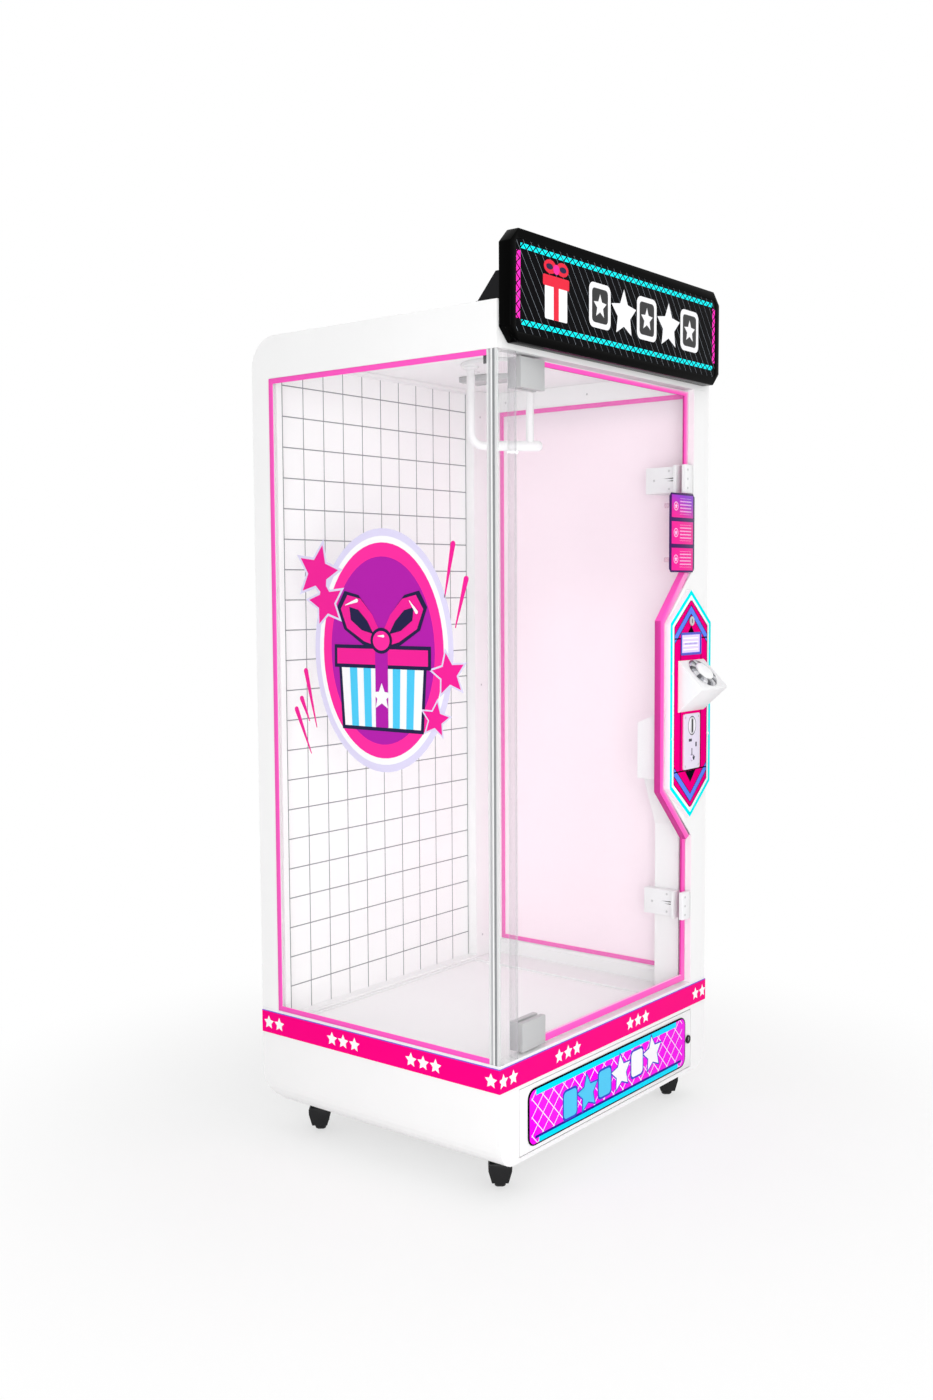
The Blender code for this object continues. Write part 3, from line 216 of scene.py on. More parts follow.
class Graph:
    """The node tree of one material."""

    def __init__(self, name: str) -> None:
        """Starts an empty material.

        Args:
            name: of the material.
        """
        self.material = bpy.data.materials.new(name)
        self.material.use_nodes = True
        self.tree = self.material.node_tree
        self.tree.nodes.clear()
        self.output = self.tree.nodes.new("ShaderNodeOutputMaterial")

    def node(self, kind: str, settings: dict | None = None, inputs: dict | None = None) -> bpy.types.Node:
        """Adds a node.

        Args:
            kind: its type.
            settings: its own settings, set first.
            inputs: values or links by socket name or index.

        Returns:
            The node.
        """
        made = self.tree.nodes.new(kind)
        for key, setting in (settings or {}).items():
            setattr(made, key, setting)
        for key, value in (inputs or {}).items():
            self.feed(made.inputs[key], value)
        return made

    def feed(self, socket: bpy.types.NodeSocket, value: object) -> None:
        """Links or sets one input socket.

        Args:
            socket: the input.
            value: a value or socket to link, or a plain number or colour.
        """
        if isinstance(value, Value):
            self.tree.links.new(value.socket, socket)
        elif isinstance(value, bpy.types.NodeSocket):
            self.tree.links.new(value, socket)
        elif isinstance(value, tuple) and len(value) == 3 and socket.type == "RGBA":
            socket.default_value = (*value, 1.0)
        else:
            socket.default_value = value

    def math(self, operation: str, *operands: Number) -> Value:
        """One arithmetic node on up to three operands."""
        inputs = dict(enumerate(operands))
        return Value(self, self.node("ShaderNodeMath", {"operation": operation}, inputs).outputs[0])

    def split(self, vector: bpy.types.NodeSocket) -> tuple[Value, Value, Value]:
        """The three parts of a vector."""
        parts = self.node("ShaderNodeSeparateXYZ", None, {0: vector}).outputs
        return Value(self, parts[0]), Value(self, parts[1]), Value(self, parts[2])

    @functools.cached_property
    def coordinates(self) -> bpy.types.Node:
        """The texture coordinate node."""
        return self.node("ShaderNodeTexCoord")

    @functools.cached_property
    def place(self) -> tuple[Value, Value, Value]:
        """Position on the object, in metres."""
        return self.split(self.coordinates.outputs["Object"])

    @functools.cached_property
    def facing(self) -> tuple[Value, Value, Value]:
        """Surface direction on the object."""
        return self.split(self.coordinates.outputs["Normal"])

    def noise(self, scale: float, detail: float = 3.0, stretch: Point3 = (1, 1, 1)) -> Value:
        """Even noise around 0.5.

        Args:
            scale: how many features to a metre.
            detail: finer layers on top.
            stretch: factor on each axis before the noise.

        Returns:
            The noise's value.
        """
        settings = {"operation": "MULTIPLY"}
        inputs = {0: self.coordinates.outputs["Object"], 1: stretch}
        where = self.node("ShaderNodeVectorMath", settings, inputs).outputs[0]
        texture = self.node("ShaderNodeTexNoise", None, {"Vector": where, "Scale": scale, "Detail": detail})
        return Value(self, texture.outputs[0])

    def mixed(self, factor: Number, first: object, second: object) -> bpy.types.NodeSocket:
        """A colour between two."""
        made = self.node("ShaderNodeMix", {"data_type": "RGBA"}, {0: factor, 6: first, 7: second})
        return made.outputs[2]

    def layered(self, base: object, layers: Iterable[Layer]) -> object:
        """Flat colours laid over a base, each where its mask is 1."""
        for mask, colour in layers:
            base = self.mixed(mask, base, colour)
        return base

    def bump(self, height: Value, distance: float, strength: float = 1.0) -> bpy.types.NodeSocket:
        """A surface direction changed by this height."""
        inputs = {"Height": height, "Distance": distance, "Strength": strength}
        return self.node("ShaderNodeBump", None, inputs).outputs[0]

    def surface(self, inputs: dict) -> bpy.types.Node:
        """The main shader, with these inputs."""
        return self.node("ShaderNodeBsdfPrincipled", None, inputs)

    def finish(self, shader: bpy.types.Node) -> bpy.types.Material:
        """Links the shader to the output and returns the material."""
        self.tree.links.new(shader.outputs[0], self.output.inputs["Surface"])
        return self.material


# ---------------------------------------------------------------- finishes
@dataclass(frozen=True)
class Finish:
    """How a surface looks. A subclass draws it."""

    name: str

    def draw(self, graph: Graph) -> bpy.types.Node:
        """Builds the shader and returns its last node.

        Args:
            graph: the tree to draw in.

        Returns:
            The shader's last node.
        """
        raise NotImplementedError


@functools.cache
def made_of(finish: Finish) -> bpy.types.Material:
    """The material of a finish, made once."""
    graph = Graph(finish.name)
    return graph.finish(finish.draw(graph))


@dataclass(frozen=True)
class Even(Finish):
    """One colour with a fine grain: paint, plastic, laminate, rubber or metal."""

    colour: Colour
    roughness: float = 0.4
    metallic: float = 0.0
    grain: float = 900.0
    depth: float = 0.00003
    spread: float = 0.06
    stretch: Point3 = (1, 1, 1)
    coat: float = 0.0
    shine: float = 0.35

    def draw(self, graph: Graph) -> bpy.types.Node:
        """Grain in the surface, and broad, slight changes of gloss and colour.

        Args:
            graph: the tree to draw in.

        Returns:
            The shader's last node.
        """
        fine = graph.noise(self.grain, 2.0, self.stretch)
        broad = graph.noise(7.0, 3.0)
        darker = tuple(part * 0.965 for part in self.colour)
        return graph.surface({
            "Base Color": graph.mixed(broad, darker, self.colour),
            "Roughness": self.roughness + (fine - 0.5) * self.spread + (broad - 0.5) * self.spread,
            "Metallic": self.metallic,
            "Specular IOR Level": self.shine,
            "Coat Weight": self.coat,
            "Normal": graph.bump(fine, self.depth),
        })


@dataclass(frozen=True)
class Trim(Finish):
    """Glossy pink moulding with painted light and shade: a painted highlight where it faces up and forwards,
    painted shade where it faces down and back.
    """

    # light is a painted highlight and dark a painted shade of the main pink
    main: Colour = tint("FF52BE")
    light: Colour = tint("FFBEE4")
    dark: Colour = tint("C4308A")

    def draw(self, graph: Graph) -> bpy.types.Node:
        """Painted highlight and shade by the surface's direction, with a soft grain.

        Args:
            graph: the tree to draw in.

        Returns:
            The shader's last node.
        """
        x, y, z = graph.facing
        # how far the surface faces the lamps picks the painted highlight or the painted shade
        light_facing = (x * 0.7 - y * 0.35 + z * 0.8)
        fine = graph.noise(700.0, 2.0)
        colour = graph.mixed(light_facing.ramp(0.25, 0.75), self.main, self.light)
        colour = graph.mixed((-1 * light_facing).ramp(0.25, 0.75), colour, self.dark)
        return graph.surface({
            "Base Color": colour,
            "Roughness": 0.3 + fine * 0.08,
            "Specular IOR Level": 0.25,
            "Normal": graph.bump(fine, 0.00003),
        })


class Pane(Enum):
    """Which way a pane faces."""

    SIDE = 0
    FRONT = 1


@dataclass(frozen=True)
class Glass(Finish):
    """Clear sheet: nearly invisible face on, whiter at a slant where a reflection is painted, and tinted at
    its cut edges.
    """

    pane: Pane
    edge: Colour = tint("D5E4E0")
    clear: float = 0.015
    cut: float = 0.55  # opacity of the cut edges

    def draw(self, graph: Graph) -> bpy.types.Node:
        """Alpha rises at a slant, as a painted reflection, and at the edges.

        Args:
            graph: the tree to draw in.

        Returns:
            The shader's last node.
        """
        along = abs(graph.facing[self.pane.value])
        cut = along < 0.6
        # at a slant the pale surface shows more: a painted reflection
        weight = graph.node("ShaderNodeLayerWeight", None, {"Blend": 0.25})
        slant = Value(graph, weight.outputs["Fresnel"])
        smear = graph.noise(3.0, 4.0)
        alpha = self.clear + slant * 0.07 + (smear - 0.5) * 0.008
        return graph.surface({
            "Base Color": graph.mixed(cut, (0.96, 0.98, 0.985), self.edge),
            "Roughness": 0.04 + smear * 0.03,
            "Alpha": alpha.at_least(cut * self.cut),
            "IOR": 1.5,
            "Normal": graph.bump(graph.noise(12.0, 1.0), 0.00002),
        })


@dataclass(frozen=True)
class ClearStrip(Finish):
    """Clear extruded plastic with grey and pale bands along its length."""

    bands: tuple[tuple[float, float, Colour, float], ...]  # low and high place, colour and alpha
    axis: Axis
    base: Colour = tint("F4F5F6")
    alpha: float = 0.42
    clear_beyond: float = 9.0  # x from which the strip is nearly clear

    def draw(self, graph: Graph) -> bpy.types.Node:
        """Bands across one axis, wavering a little along the length.

        Args:
            graph: the tree to draw in.

        Returns:
            The shader's last node.
        """
        waver = (graph.noise(5.0, 2.0, (1, 1, 0.35)) - 0.5) * 0.0012
        across = graph.place[self.axis.value] + waver
        masks = [(across.between(low, high), colour, alpha) for low, high, colour, alpha in self.bands]
        colour = graph.layered(self.base, [(mask, colour) for mask, colour, _ in masks])
        opacity: Number = self.alpha
        for mask, _, alpha in masks:
            opacity = mask * alpha + ~mask * opacity
        beyond = (graph.place[0] > self.clear_beyond) & (graph.facing[2] < 0.9)
        opacity = opacity * (1 - beyond * 0.95)
        return graph.surface({
            "Base Color": colour,
            "Roughness": 0.08 + graph.noise(40.0) * 0.05,
            "Alpha": opacity,
            "Normal": graph.bump(graph.noise(60.0, 2.0, (1, 1, 0.05)), 0.00003),
        })


@dataclass(frozen=True)
class Grid(Finish):
    """White board ruled into squares with fine grey lines."""

    first: Point2 = (-0.367, 0.3397)
    pitch: Point2 = (0.068, 0.0705)
    line: float = 0.0013
    ink: Colour = tint("84878A")
    board: Colour = (0.96, 0.96, 0.96)

    def draw(self, graph: Graph) -> bpy.types.Node:
        """Lines both ways, slightly sunk.

        Args:
            graph: the tree to draw in.

        Returns:
            The shader's last node.
        """
        x, _, z = graph.place
        half = 0.5
        columns = abs((x - self.first[0]) / self.pitch[0] % 1 - half) > half - self.line / self.pitch[0]
        rows = abs((z - self.first[1]) / self.pitch[1] % 1 - half) > half - self.line / self.pitch[1]
        border = z.near(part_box("grid_panel")[1].z - 0.004, 0.0018)
        inside = x > self.first[0] - self.line * 1.5
        ruled = (columns | rows | border) & inside & (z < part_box("grid_panel")[1].z - 0.002)
        fine = graph.noise(500.0, 2.0)
        return graph.surface({
            "Base Color": graph.mixed(ruled, self.board, self.ink),
            "Roughness": 0.4 + fine * 0.1,
            "Normal": graph.bump(fine * 0.2 - ruled, 0.0002),
        })


@dataclass(frozen=True)
class PalePink(Finish):
    """Pale pink liner with a painted shadow under the ceiling, and white board colour at its foot and above
    its top.
    """

    face: Colour = tint("FFEDF6")
    # shade is the colour of the painted shadow under the ceiling
    shade: Colour = tint("E8DBE4")
    board: Colour = (0.93, 0.93, 0.93)
    low: float = 0.312  # its white kick strip ends here

    def draw(self, graph: Graph) -> bpy.types.Node:
        """A soft painted shadow at the top, under the ceiling, and a fine grain.

        Args:
            graph: the tree to draw in.

        Returns:
            The shader's last node.
        """
        z = graph.place[Axis.Z.value]
        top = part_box("left_window_trim")[1].z
        # painted shadow under the ceiling, strongest at its top
        shaded = (z.ramp(top - 0.085, top + 0.005)) * 0.8
        colour = graph.mixed(shaded, self.face, self.shade)
        colour = graph.layered(colour, [((z < self.low) | (z > top), self.board)])
        fine = graph.noise(600.0, 2.0)
        return graph.surface({
            "Base Color": colour,
            "Roughness": 0.35 + fine * 0.1,
            "Normal": graph.bump(fine, 0.00003),
        })


def star_mask(u: Value, v: Value, radius: float, waist: float = 0.5) -> Value:
    """1 inside a five-pointed star that points up.

    Args:
        u: distance to the right of its middle.
        v: distance above its middle.
        radius: from its middle to a point.
        waist: inner radius as a share of the outer one.

    Returns:
        The mask.
    """
    graph = u.graph
    reach = graph.math("SQRT", u * u + v * v)
    sector = math.radians(72)
    angle = graph.math("ARCTAN2", u, v)
    fold = graph.math("PINGPONG", abs(angle), sector / 2)
    across = reach * graph.math("SINE", fold)
    along = reach * graph.math("COSINE", fold)
    half = sector / 2
    notch = (radius * waist * math.sin(half), radius * waist * math.cos(half))
    slope = notch[0] / (radius - notch[1])
    return (across < (radius - along) * slope) & (along > -radius)


@dataclass(frozen=True)
class StarRow:
    """A row of stars between two dashes."""

    start: float
    count: int
    pitch: float = 0.0345
    low: float = -1.0
    high: float = 1.0

    def mask(self, along: Value, up: Value, radius: float) -> Value:
        """1 inside the row's stars.

        Args:
            along: place along the row.
            up: height from the row's middle.
            radius: of each star.

        Returns:
            The mask.
        """
        local = (along - self.start) % self.pitch - self.pitch / 2
        end = self.start + self.pitch * self.count
        kept = along.between(max(self.start, self.low), min(end, self.high))
        return star_mask(local, up, radius) & kept


@dataclass(frozen=True)
class BandFilm(Finish):
    """Hot pink film round the waist, with rows of white stars."""

    pink: Colour = tint("F80080")
    ink: Colour = (0.95, 0.95, 0.95)
    seam: Colour = tint("7A4FD0")
    middle: float = 0.2665
    radius: float = 0.0165
    front_rows: tuple[StarRow, ...] = (
        StarRow(-0.4365, 2), StarRow(-0.2345, 3), StarRow(0.0565, 3), StarRow(0.3640, 2),
    )
    side_rows: tuple[StarRow, ...] = (
        StarRow(behind(0.0040), 1), StarRow(behind(0.1525), 3),
        StarRow(behind(0.3875), 3), StarRow(behind(0.6260), 2),
    )

    def draw(self, graph: Graph) -> bpy.types.Node:
        """Rows of stars on the front and on both sides.

        Args:
            graph: the tree to draw in.

        Returns:
            The shader's last node.
        """
        x, y, z = graph.place
        on_front = (graph.facing[1] < -0.5)
        up = z - self.middle
        front: Number = 0.0
        for row in self.front_rows:
            front = row.mask(x, up, self.radius) + front
        side: Number = 0.0
        for row in self.side_rows:
            side = row.mask(y, up, self.radius) + side
        stars = front * on_front + side * ~on_front
        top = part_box("waist_band")[1].z
        fine = graph.noise(400.0, 2.0)
        colour = graph.layered(self.pink, [(stars, self.ink), (z > top - 0.0016, self.seam)])
        return graph.surface({
            "Base Color": colour,
            "Roughness": 0.3 + fine * 0.12,
            "Specular IOR Level": 0.02,
            "Normal": graph.bump(fine, 0.00002),
        })


@dataclass(frozen=True)
class SignPrint(Finish):
    """Backlit black sign print: fine diagonals, and strips cut into small triangles along its edges."""

    ground: Colour = tint("040406")
    diagonal: Colour = tint("7C838A")
    cyan: Colour = tint("14F4FA")
    pink: Colour = tint("FF30C0")
    tooth: float = 0.0217  # pitch of the triangles in the cyan strips
    notch: float = 0.020  # pitch of those in the pink ones
    top: float = 1.9555  # middle height of the upper strip
    foot: float = 1.8070
    half: float = 0.0052  # half the height of both
    line: float = 0.0021  # half the dark line between two triangles

    def draw(self, graph: Graph) -> bpy.types.Node:
        """Everything on it is worked out from the place on the sign.

        Args:
            graph: the tree to draw in.

        Returns:
            The shader's last node.
        """
        x, _, z = graph.place
        slant = (z + x * 1.33) / 0.034
        wires = abs(slant % 1 - 0.5) > 0.478
        faint = graph.noise(9.0, 2.0).ramp(0.2, 0.5)
        top = z.near(self.top, self.half) & x.between(-0.389, 0.391)
        foot = z.near(self.foot, self.half) & x.between(-0.3865, 0.393)
        zig = x.wave(self.tooth) / (self.tooth / 2) * (2 * self.half)
        top_cut = abs(z - (self.top - self.half) - zig) < self.line
        foot_cut = abs(z - (self.foot - self.half) - zig) < self.line
        left = (x - z * 0.02).near(-0.4345, 0.0068) & z.between(1.813, 1.945)
        right = x.near(0.3985, 0.0058) & z.between(1.820, 1.948)
        zag = z.wave(self.notch) / (self.notch / 2) * 0.0125
        left_cut = abs(x + 0.4040 - zag) < 0.0022
        right_cut = abs(x - 0.3925 - zag) < 0.0022
        colour = graph.layered(self.ground, [
            (wires & faint, self.diagonal),
            (top & ~top_cut, self.cyan),
            (foot & ~foot_cut, self.cyan),
            (left & ~left_cut, self.pink),
            (right & ~right_cut, self.pink),
        ])
        fine = graph.noise(300.0, 2.0)
        return graph.surface({
            "Base Color": colour,
            "Emission Color": colour,
            "Emission Strength": 0.10,
            "Roughness": 0.22 + fine * 0.05,
            "Specular IOR Level": 0.02,
            "Normal": graph.bump(fine, 0.00001),
        })


@dataclass(frozen=True)
class ServicePrint(Finish):
    """Magenta print of the service door: a lattice between two cyan bars."""

    magenta: Colour = tint("F400EE")
    pink: Colour = tint("FF30E0")
    cyan: Colour = tint("00DFFF")
    navy: Colour = tint("281E96")
    white: Colour = (0.95, 0.93, 0.97)
    pitch: float = 0.0283

    def draw(self, graph: Graph) -> bpy.types.Node:
        """Lattice at 45 degrees, bars, a dark rim and lighter ends.

        Args:
            graph: the tree to draw in.

        Returns:
            The shader's last node.
        """
        x, _, z = graph.place
        low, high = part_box("service_graphic")
        across = abs(((x + z) * 0.7071) / self.pitch % 1 - 0.5) > 0.468
        down = abs(((x - z) * 0.7071) / self.pitch % 1 - 0.5) > 0.468
        lattice = (across | down) & x.between(-0.322, 0.313)
        top_bar = z.between(high.z - 0.0165, high.z - 0.0035) & x.between(-0.306, 0.284)
        foot_bar = z.between(low.z + 0.0015, low.z + 0.0145) & x.between(-0.295, 0.293)
        line = z.between(low.z + 0.0145, low.z + 0.0205) & x.between(-0.309, 0.308)
        centre = ((low.x + high.x) / 2, (low.z + high.z) / 2)
        half = ((high.x - low.x) / 2, (high.z - low.z) / 2)
        radius = 0.022
        out_x = (abs(x - centre[0]) - (half[0] - radius)).at_least(0)
        out_z = (abs(z - centre[1]) - (half[1] - radius)).at_least(0)
        reach = graph.math("SQRT", out_x * out_x + out_z * out_z)
        rim = reach > radius - 0.0036
        cloud = graph.noise(6.0, 2.0).ramp(0.35, 0.7)
        base = graph.mixed(cloud * 0.5, self.magenta, self.pink)
        colour = graph.layered(base, [
            (lattice, self.white), (top_bar, self.cyan), (foot_bar, self.cyan), (line, self.navy),
            (rim, tint("08040C")),
        ])
        fine = graph.noise(500.0, 2.0)
        return graph.surface({
            "Base Color": colour,
            "Roughness": 0.25 + fine * 0.1,
            "Specular IOR Level": 0.02,
            "Normal": graph.bump(fine, 0.00002),
        })


@dataclass(frozen=True)
class PanelPrint(Finish):
    """Six-sided print of the control panel: nested rims, chevrons and dark arrowheads."""

    centre: Point2
    magenta: Colour = tint("EE007C")
    cyan: Colour = tint("00F0F4")
    blue: Colour = tint("5F84F5")
    white: Colour = (0.94, 0.94, 0.95)
    ink: Colour = tint("101018")

    def draw(self, graph: Graph) -> bpy.types.Node:
        """Distances from the panel's own outline give the rims.

        Args:
            graph: the tree to draw in.

        Returns:
            The shader's last node.
        """
        x, _, z = graph.place
        side = abs(x - self.centre[0])
        rise = abs(z - self.centre[1])
        edge = (0.098 - side).at_most((0.277 - rise) * 0.775 - side * 0.632)
        front = graph.facing[1] < -0.5
        inner = edge > 0.0200
        chevron_in = (0.2395 - rise) - side * 0.9
        chevron = chevron_in.between(0.0, 0.0215) & (side < 0.0775) & inner
        arrow = (rise.between(0.1620, 0.1900)) & (side < (0.1905 - rise) * 0.9)
        cross = rise.near(0.1602, 0.0016)
        upright = side.near(0.0493, 0.0014) & (rise < 0.1602)
        colour = graph.layered(self.cyan, [
            (edge > 0.0100, self.white),
            (edge > 0.0176, self.ink),
            (inner, self.magenta),
            (chevron, self.blue),
            (chevron_in.near(0.0, 0.0014) & inner & (side < 0.0775), self.ink),
            (chevron_in.near(0.0215, 0.0014) & inner & (side < 0.0775), self.ink),
            ((cross | upright) & inner, self.ink),
            (arrow & inner, self.ink),
            (~front, self.white),
        ])
        fine = graph.noise(500.0, 2.0)
        return graph.surface({
            "Base Color": colour,
            "Roughness": 0.5 + fine * 0.1,
            "Specular IOR Level": 0.0,
            "Normal": graph.bump(fine, 0.00002),
        })


@dataclass(frozen=True)
class CardPrint(Finish):
    """Printed card on the door: a purple to magenta fade with three framed boxes of rows of dots."""

    purple: Colour = tint("8A2BD0")
    magenta: Colour = tint("F01896")
    ink: Colour = tint("3A0A5A")
    pale: Colour = tint("F7C4EC")
    thickness: float = 0.0032  # behind this the clear stand-offs start

    def draw(self, graph: Graph) -> bpy.types.Node:
        """Rows of small bars stand for plain text lines.

        Args:
            graph: the tree to draw in.

        Returns:
            The shader's last node.
        """
        x, y, z = graph.place
        low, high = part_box("instruction_card")
        u = (x - low.x) / (high.x - low.x)
        v = (z - low.z) / (high.z - low.z)
        base = graph.mixed((u * 0.2 + v).ramp(0.72, 1.12), self.magenta, self.purple)
        third = (v * 3.0) % 1
        box_edge = (abs(third - 0.5) > 0.425) | (abs(u - 0.5) > 0.435)
        rows = ((v * 24.0) % 1).between(0.3, 0.68)
        words = ((x * 210.0 + graph.math("FLOOR", v * 24.0) * 0.37) % 1) > 0.32
        block = third.between(0.2, 0.8) & u.between(0.40, 0.86)
        badge_u, badge_v = (u - 0.24) * 0.116, (third - 0.5) * 0.0627
        ring = graph.math("SQRT", badge_u * badge_u + badge_v * badge_v)
        colour = graph.layered(base, [
            (box_edge, self.ink),
            (rows & words & block, self.pale),
            (ring < 0.0105, self.pale),
            (ring < 0.0085, self.magenta),
            (star_mask(badge_u, badge_v, 0.0072), self.pale),
        ])
        fine = graph.noise(400.0, 2.0)
        return graph.surface({
            "Base Color": colour,
            "Alpha": 1 - (y > low.y + self.thickness) * 0.88,
            "Roughness": 0.2 + fine * 0.1,
            "Specular IOR Level": 0.15,
            "Normal": graph.bump(fine, 0.00001),
        })


@dataclass(frozen=True)
class DisplayPrint(Finish):
    """Lilac screen with a blue border and pale rows."""

    lilac: Colour = tint("D9C8F8")
    border: Colour = tint("5A58D8")
    pale: Colour = tint("F7F2FF")
    dim: Colour = tint("8E84CE")

    def draw(self, graph: Graph) -> bpy.types.Node:
        """Border, pale rows and one darker row of dots.

        Args:
            graph: the tree to draw in.

        Returns:
            The shader's last node.
        """
        x, _, z = graph.place
        low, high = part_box("display_screen")
        u, v = x - (low.x + high.x) / 2, z - (low.z + high.z) / 2
        half = ((high.x - low.x) / 2, (high.z - low.z) / 2)
        rim = (abs(u) > half[0] - 0.0030) | (abs(v) > half[1] - 0.0030)
        rows = ((v * 110.0) % 1).between(0.30, 0.62) & (abs(u) < 0.036) & (abs(v) < 0.0175)
        dots = ((u * 160.0) % 1 > 0.35) & v.near(0.0, 0.0022) & (abs(u) < 0.030)
        colour = graph.layered(self.lilac, [(rows, self.pale), (dots, self.dim), (rim, self.border)])
        return graph.surface({
            "Base Color": colour,
            "Emission Color": colour,
            "Emission Strength": 0.15,
            "Roughness": 0.12 + graph.noise(200.0) * 0.08,
            "Coat Weight": 0.3,
        })


@dataclass(frozen=True)
class CoinPrint(Finish):
    """Pale brushed plate with an oval round the slot and plain marks."""

    centre: Point2
    plate: Colour = tint("E4DCEE")
    oval: Colour = tint("F4F0F8")
    ink: Colour = tint("141030")

    def draw(self, graph: Graph) -> bpy.types.Node:
        """Oval, two small marks and an arrow down to the return button.

        Args:
            graph: the tree to draw in.

        Returns:
            The shader's last node.
        """
        x, _, z = graph.place
        u, v = x - self.centre[0], z - self.centre[1]
        oval_v = (v - 0.038) / 0.0235
        oval_u = u / 0.0190
        ring = graph.math("SQRT", oval_u * oval_u + oval_v * oval_v)
        arrow = v.between(-0.0500, -0.0370) & (abs(u) < (v + 0.0500) * 0.5)
        stem = v.between(-0.0380, -0.0170) & (abs(u) < 0.0019)
        wide = v.near(0.003, 0.0034) & u.near(-0.008, 0.0075)
        tall = v.near(-0.009, 0.0055) & u.near(0.020, 0.0035)
        marks = wide | tall
        colour = graph.layered(self.plate, [
            (ring < 1.0, self.ink), (ring < 0.90, self.oval), (arrow | stem | marks, self.ink),
        ])
        fine = graph.noise(900.0, 2.0, (0.05, 1, 1))
        return graph.surface({
            "Base Color": colour,
            "Roughness": 0.32 + fine * 0.12,
            "Metallic": 0.2,
            "Normal": graph.bump(fine, 0.00002),
        })


@dataclass(frozen=True)
class Segmented(Finish):
    """Bright chrome with painted reflections as dark and grey steps round an axis."""

    middle: Point3
    axis: Point3

    def draw(self, graph: Graph) -> bpy.types.Node:
        """Painted reflections in steps by the angle round the axis.

        Args:
            graph: the tree to draw in.

        Returns:
            The shader's last node.
        """
        normal = Vector(self.axis)
        across = Vector((1, 0, 0))
        up = normal.cross(across)
        x, y, z = graph.place
        offset = (x - self.middle[0], y - self.middle[1], z - self.middle[2])
        u = offset[0]
        v = offset[1] * up.y + offset[2] * up.z
        angle = graph.math("ARCTAN2", v, u)
        turns = (angle / math.tau * 8) % 1
        fine = graph.noise(300.0, 2.0)
        # the dark and grey steps are painted reflections on the chrome
        painted_reflections = [(turns.between(0.24, 0.58), tint("4A4B50")), (turns.between(0.58, 0.86), tint("8E8F94"))]
        return graph.surface({
            "Base Color": graph.layered(tint("C6C6CA"), painted_reflections),
            "Metallic": 0.35,
            "Roughness": 0.2 + fine * 0.06,
            "Normal": graph.bump(fine, 0.00001),
        })


class Stock:
    """The plain finishes of the shop."""

    PAINT = Even("white paint", (0.905, 0.905, 0.905), 0.38, grain=1100.0)
    LAMINATE = Even("white laminate", (0.905, 0.905, 0.905), 0.34, grain=700.0, depth=0.00002)
    LINER = Even("white liner", (0.93, 0.93, 0.93), 0.42, grain=800.0)
    DECK = Even("white deck", (0.96, 0.96, 0.96), 0.34, grain=700.0, depth=0.00002)
    PLASTIC = Even("white plastic", (0.88, 0.88, 0.89), 0.35, grain=1300.0)
    CASE = Even("lock case white", (0.86, 0.86, 0.87), 0.32, grain=1300.0)
    CAP = Even("button cap white", (0.92, 0.92, 0.92), 0.22, grain=1500.0, depth=0.00001, coat=0.3)
    ARM = Even("arm white", (0.86, 0.86, 0.865), 0.3, grain=1200.0)
    GREY_PAINT = Even("grey paint", (0.50, 0.505, 0.51), 0.4, grain=1000.0)
    HEADER_LIP = Even("pale grey edge", (0.62, 0.625, 0.63), 0.4, grain=1000.0)
    PATCH = Even(
        "sandblasted steel", (0.52, 0.525, 0.53), 0.42, 0.25, grain=1900.0, depth=0.00004, spread=0.12,
    )
    STEEL = Even(
        "brushed steel", (0.62, 0.62, 0.63), 0.3, 1.0, grain=500.0, depth=0.00002, stretch=(1, 1, 0.05),
    )
    ZINC = Even("zinc screw", (0.60, 0.60, 0.61), 0.32, 0.9, grain=1500.0)
    DARK_STEEL = Even("dark steel", (0.10, 0.10, 0.105), 0.32, 0.8, grain=900.0)
    BLACK_PLASTIC = Even(
        "black plastic", (0.012, 0.012, 0.013), 0.38, grain=1100.0, depth=0.00006, spread=0.12, shine=0.15,
    )
    CASTER_BLACK = Even(
        "caster nylon", (0.010, 0.010, 0.011), 0.34, grain=1100.0, depth=0.00008, spread=0.14, shine=0.2,
    )
    BLACK_STEEL = Even(
        "black steel", (0.007, 0.007, 0.008), 0.45, grain=900.0, depth=0.00006, spread=0.12, shine=0.1,
    )
    SIGN_CASE = Even(
        "sign case", (0.001, 0.001, 0.001), 0.16, grain=260.0, depth=0.00004, spread=0.08, shine=0.02,
    )
    RUBBER = Even(
        "caster tread", (0.008, 0.008, 0.009), 0.55, grain=1300.0, depth=0.0001, spread=0.15, shine=0.15,
    )
    STICKER_MAGENTA = Even("magenta film", tint("F01E96"), 0.3, grain=500.0, depth=0.00001, shine=0.12)
    STICKER_HOT = Even("hot pink film", tint("FF2A9E"), 0.3, grain=500.0, depth=0.00001, shine=0.12)
    STICKER_LILAC = Even("lilac film", tint("DCD6F2"), 0.3, grain=500.0, depth=0.00001, shine=0.12)
    STICKER_WHITE = Even("white film", (0.93, 0.93, 0.95), 0.3, grain=500.0, depth=0.00001, shine=0.12)
    STICKER_NAVY = Even("navy film", tint("1C1A44"), 0.3, grain=500.0, depth=0.00001, shine=0.12)
    STICKER_CYAN = Even("cyan film", tint("4CC8F2"), 0.3, grain=500.0, depth=0.00001, shine=0.12)
    STICKER_RED = Even("red film", tint("E8203C"), 0.3, grain=500.0, depth=0.00001, shine=0.12)
    STICKER_PURPLE = Even("purple film", tint("B018A8"), 0.3, grain=500.0, depth=0.00001, shine=0.12)
    STICKER_BLUE = Even("blue film", tint("2E3CC8"), 0.3, grain=500.0, depth=0.00001, shine=0.12)


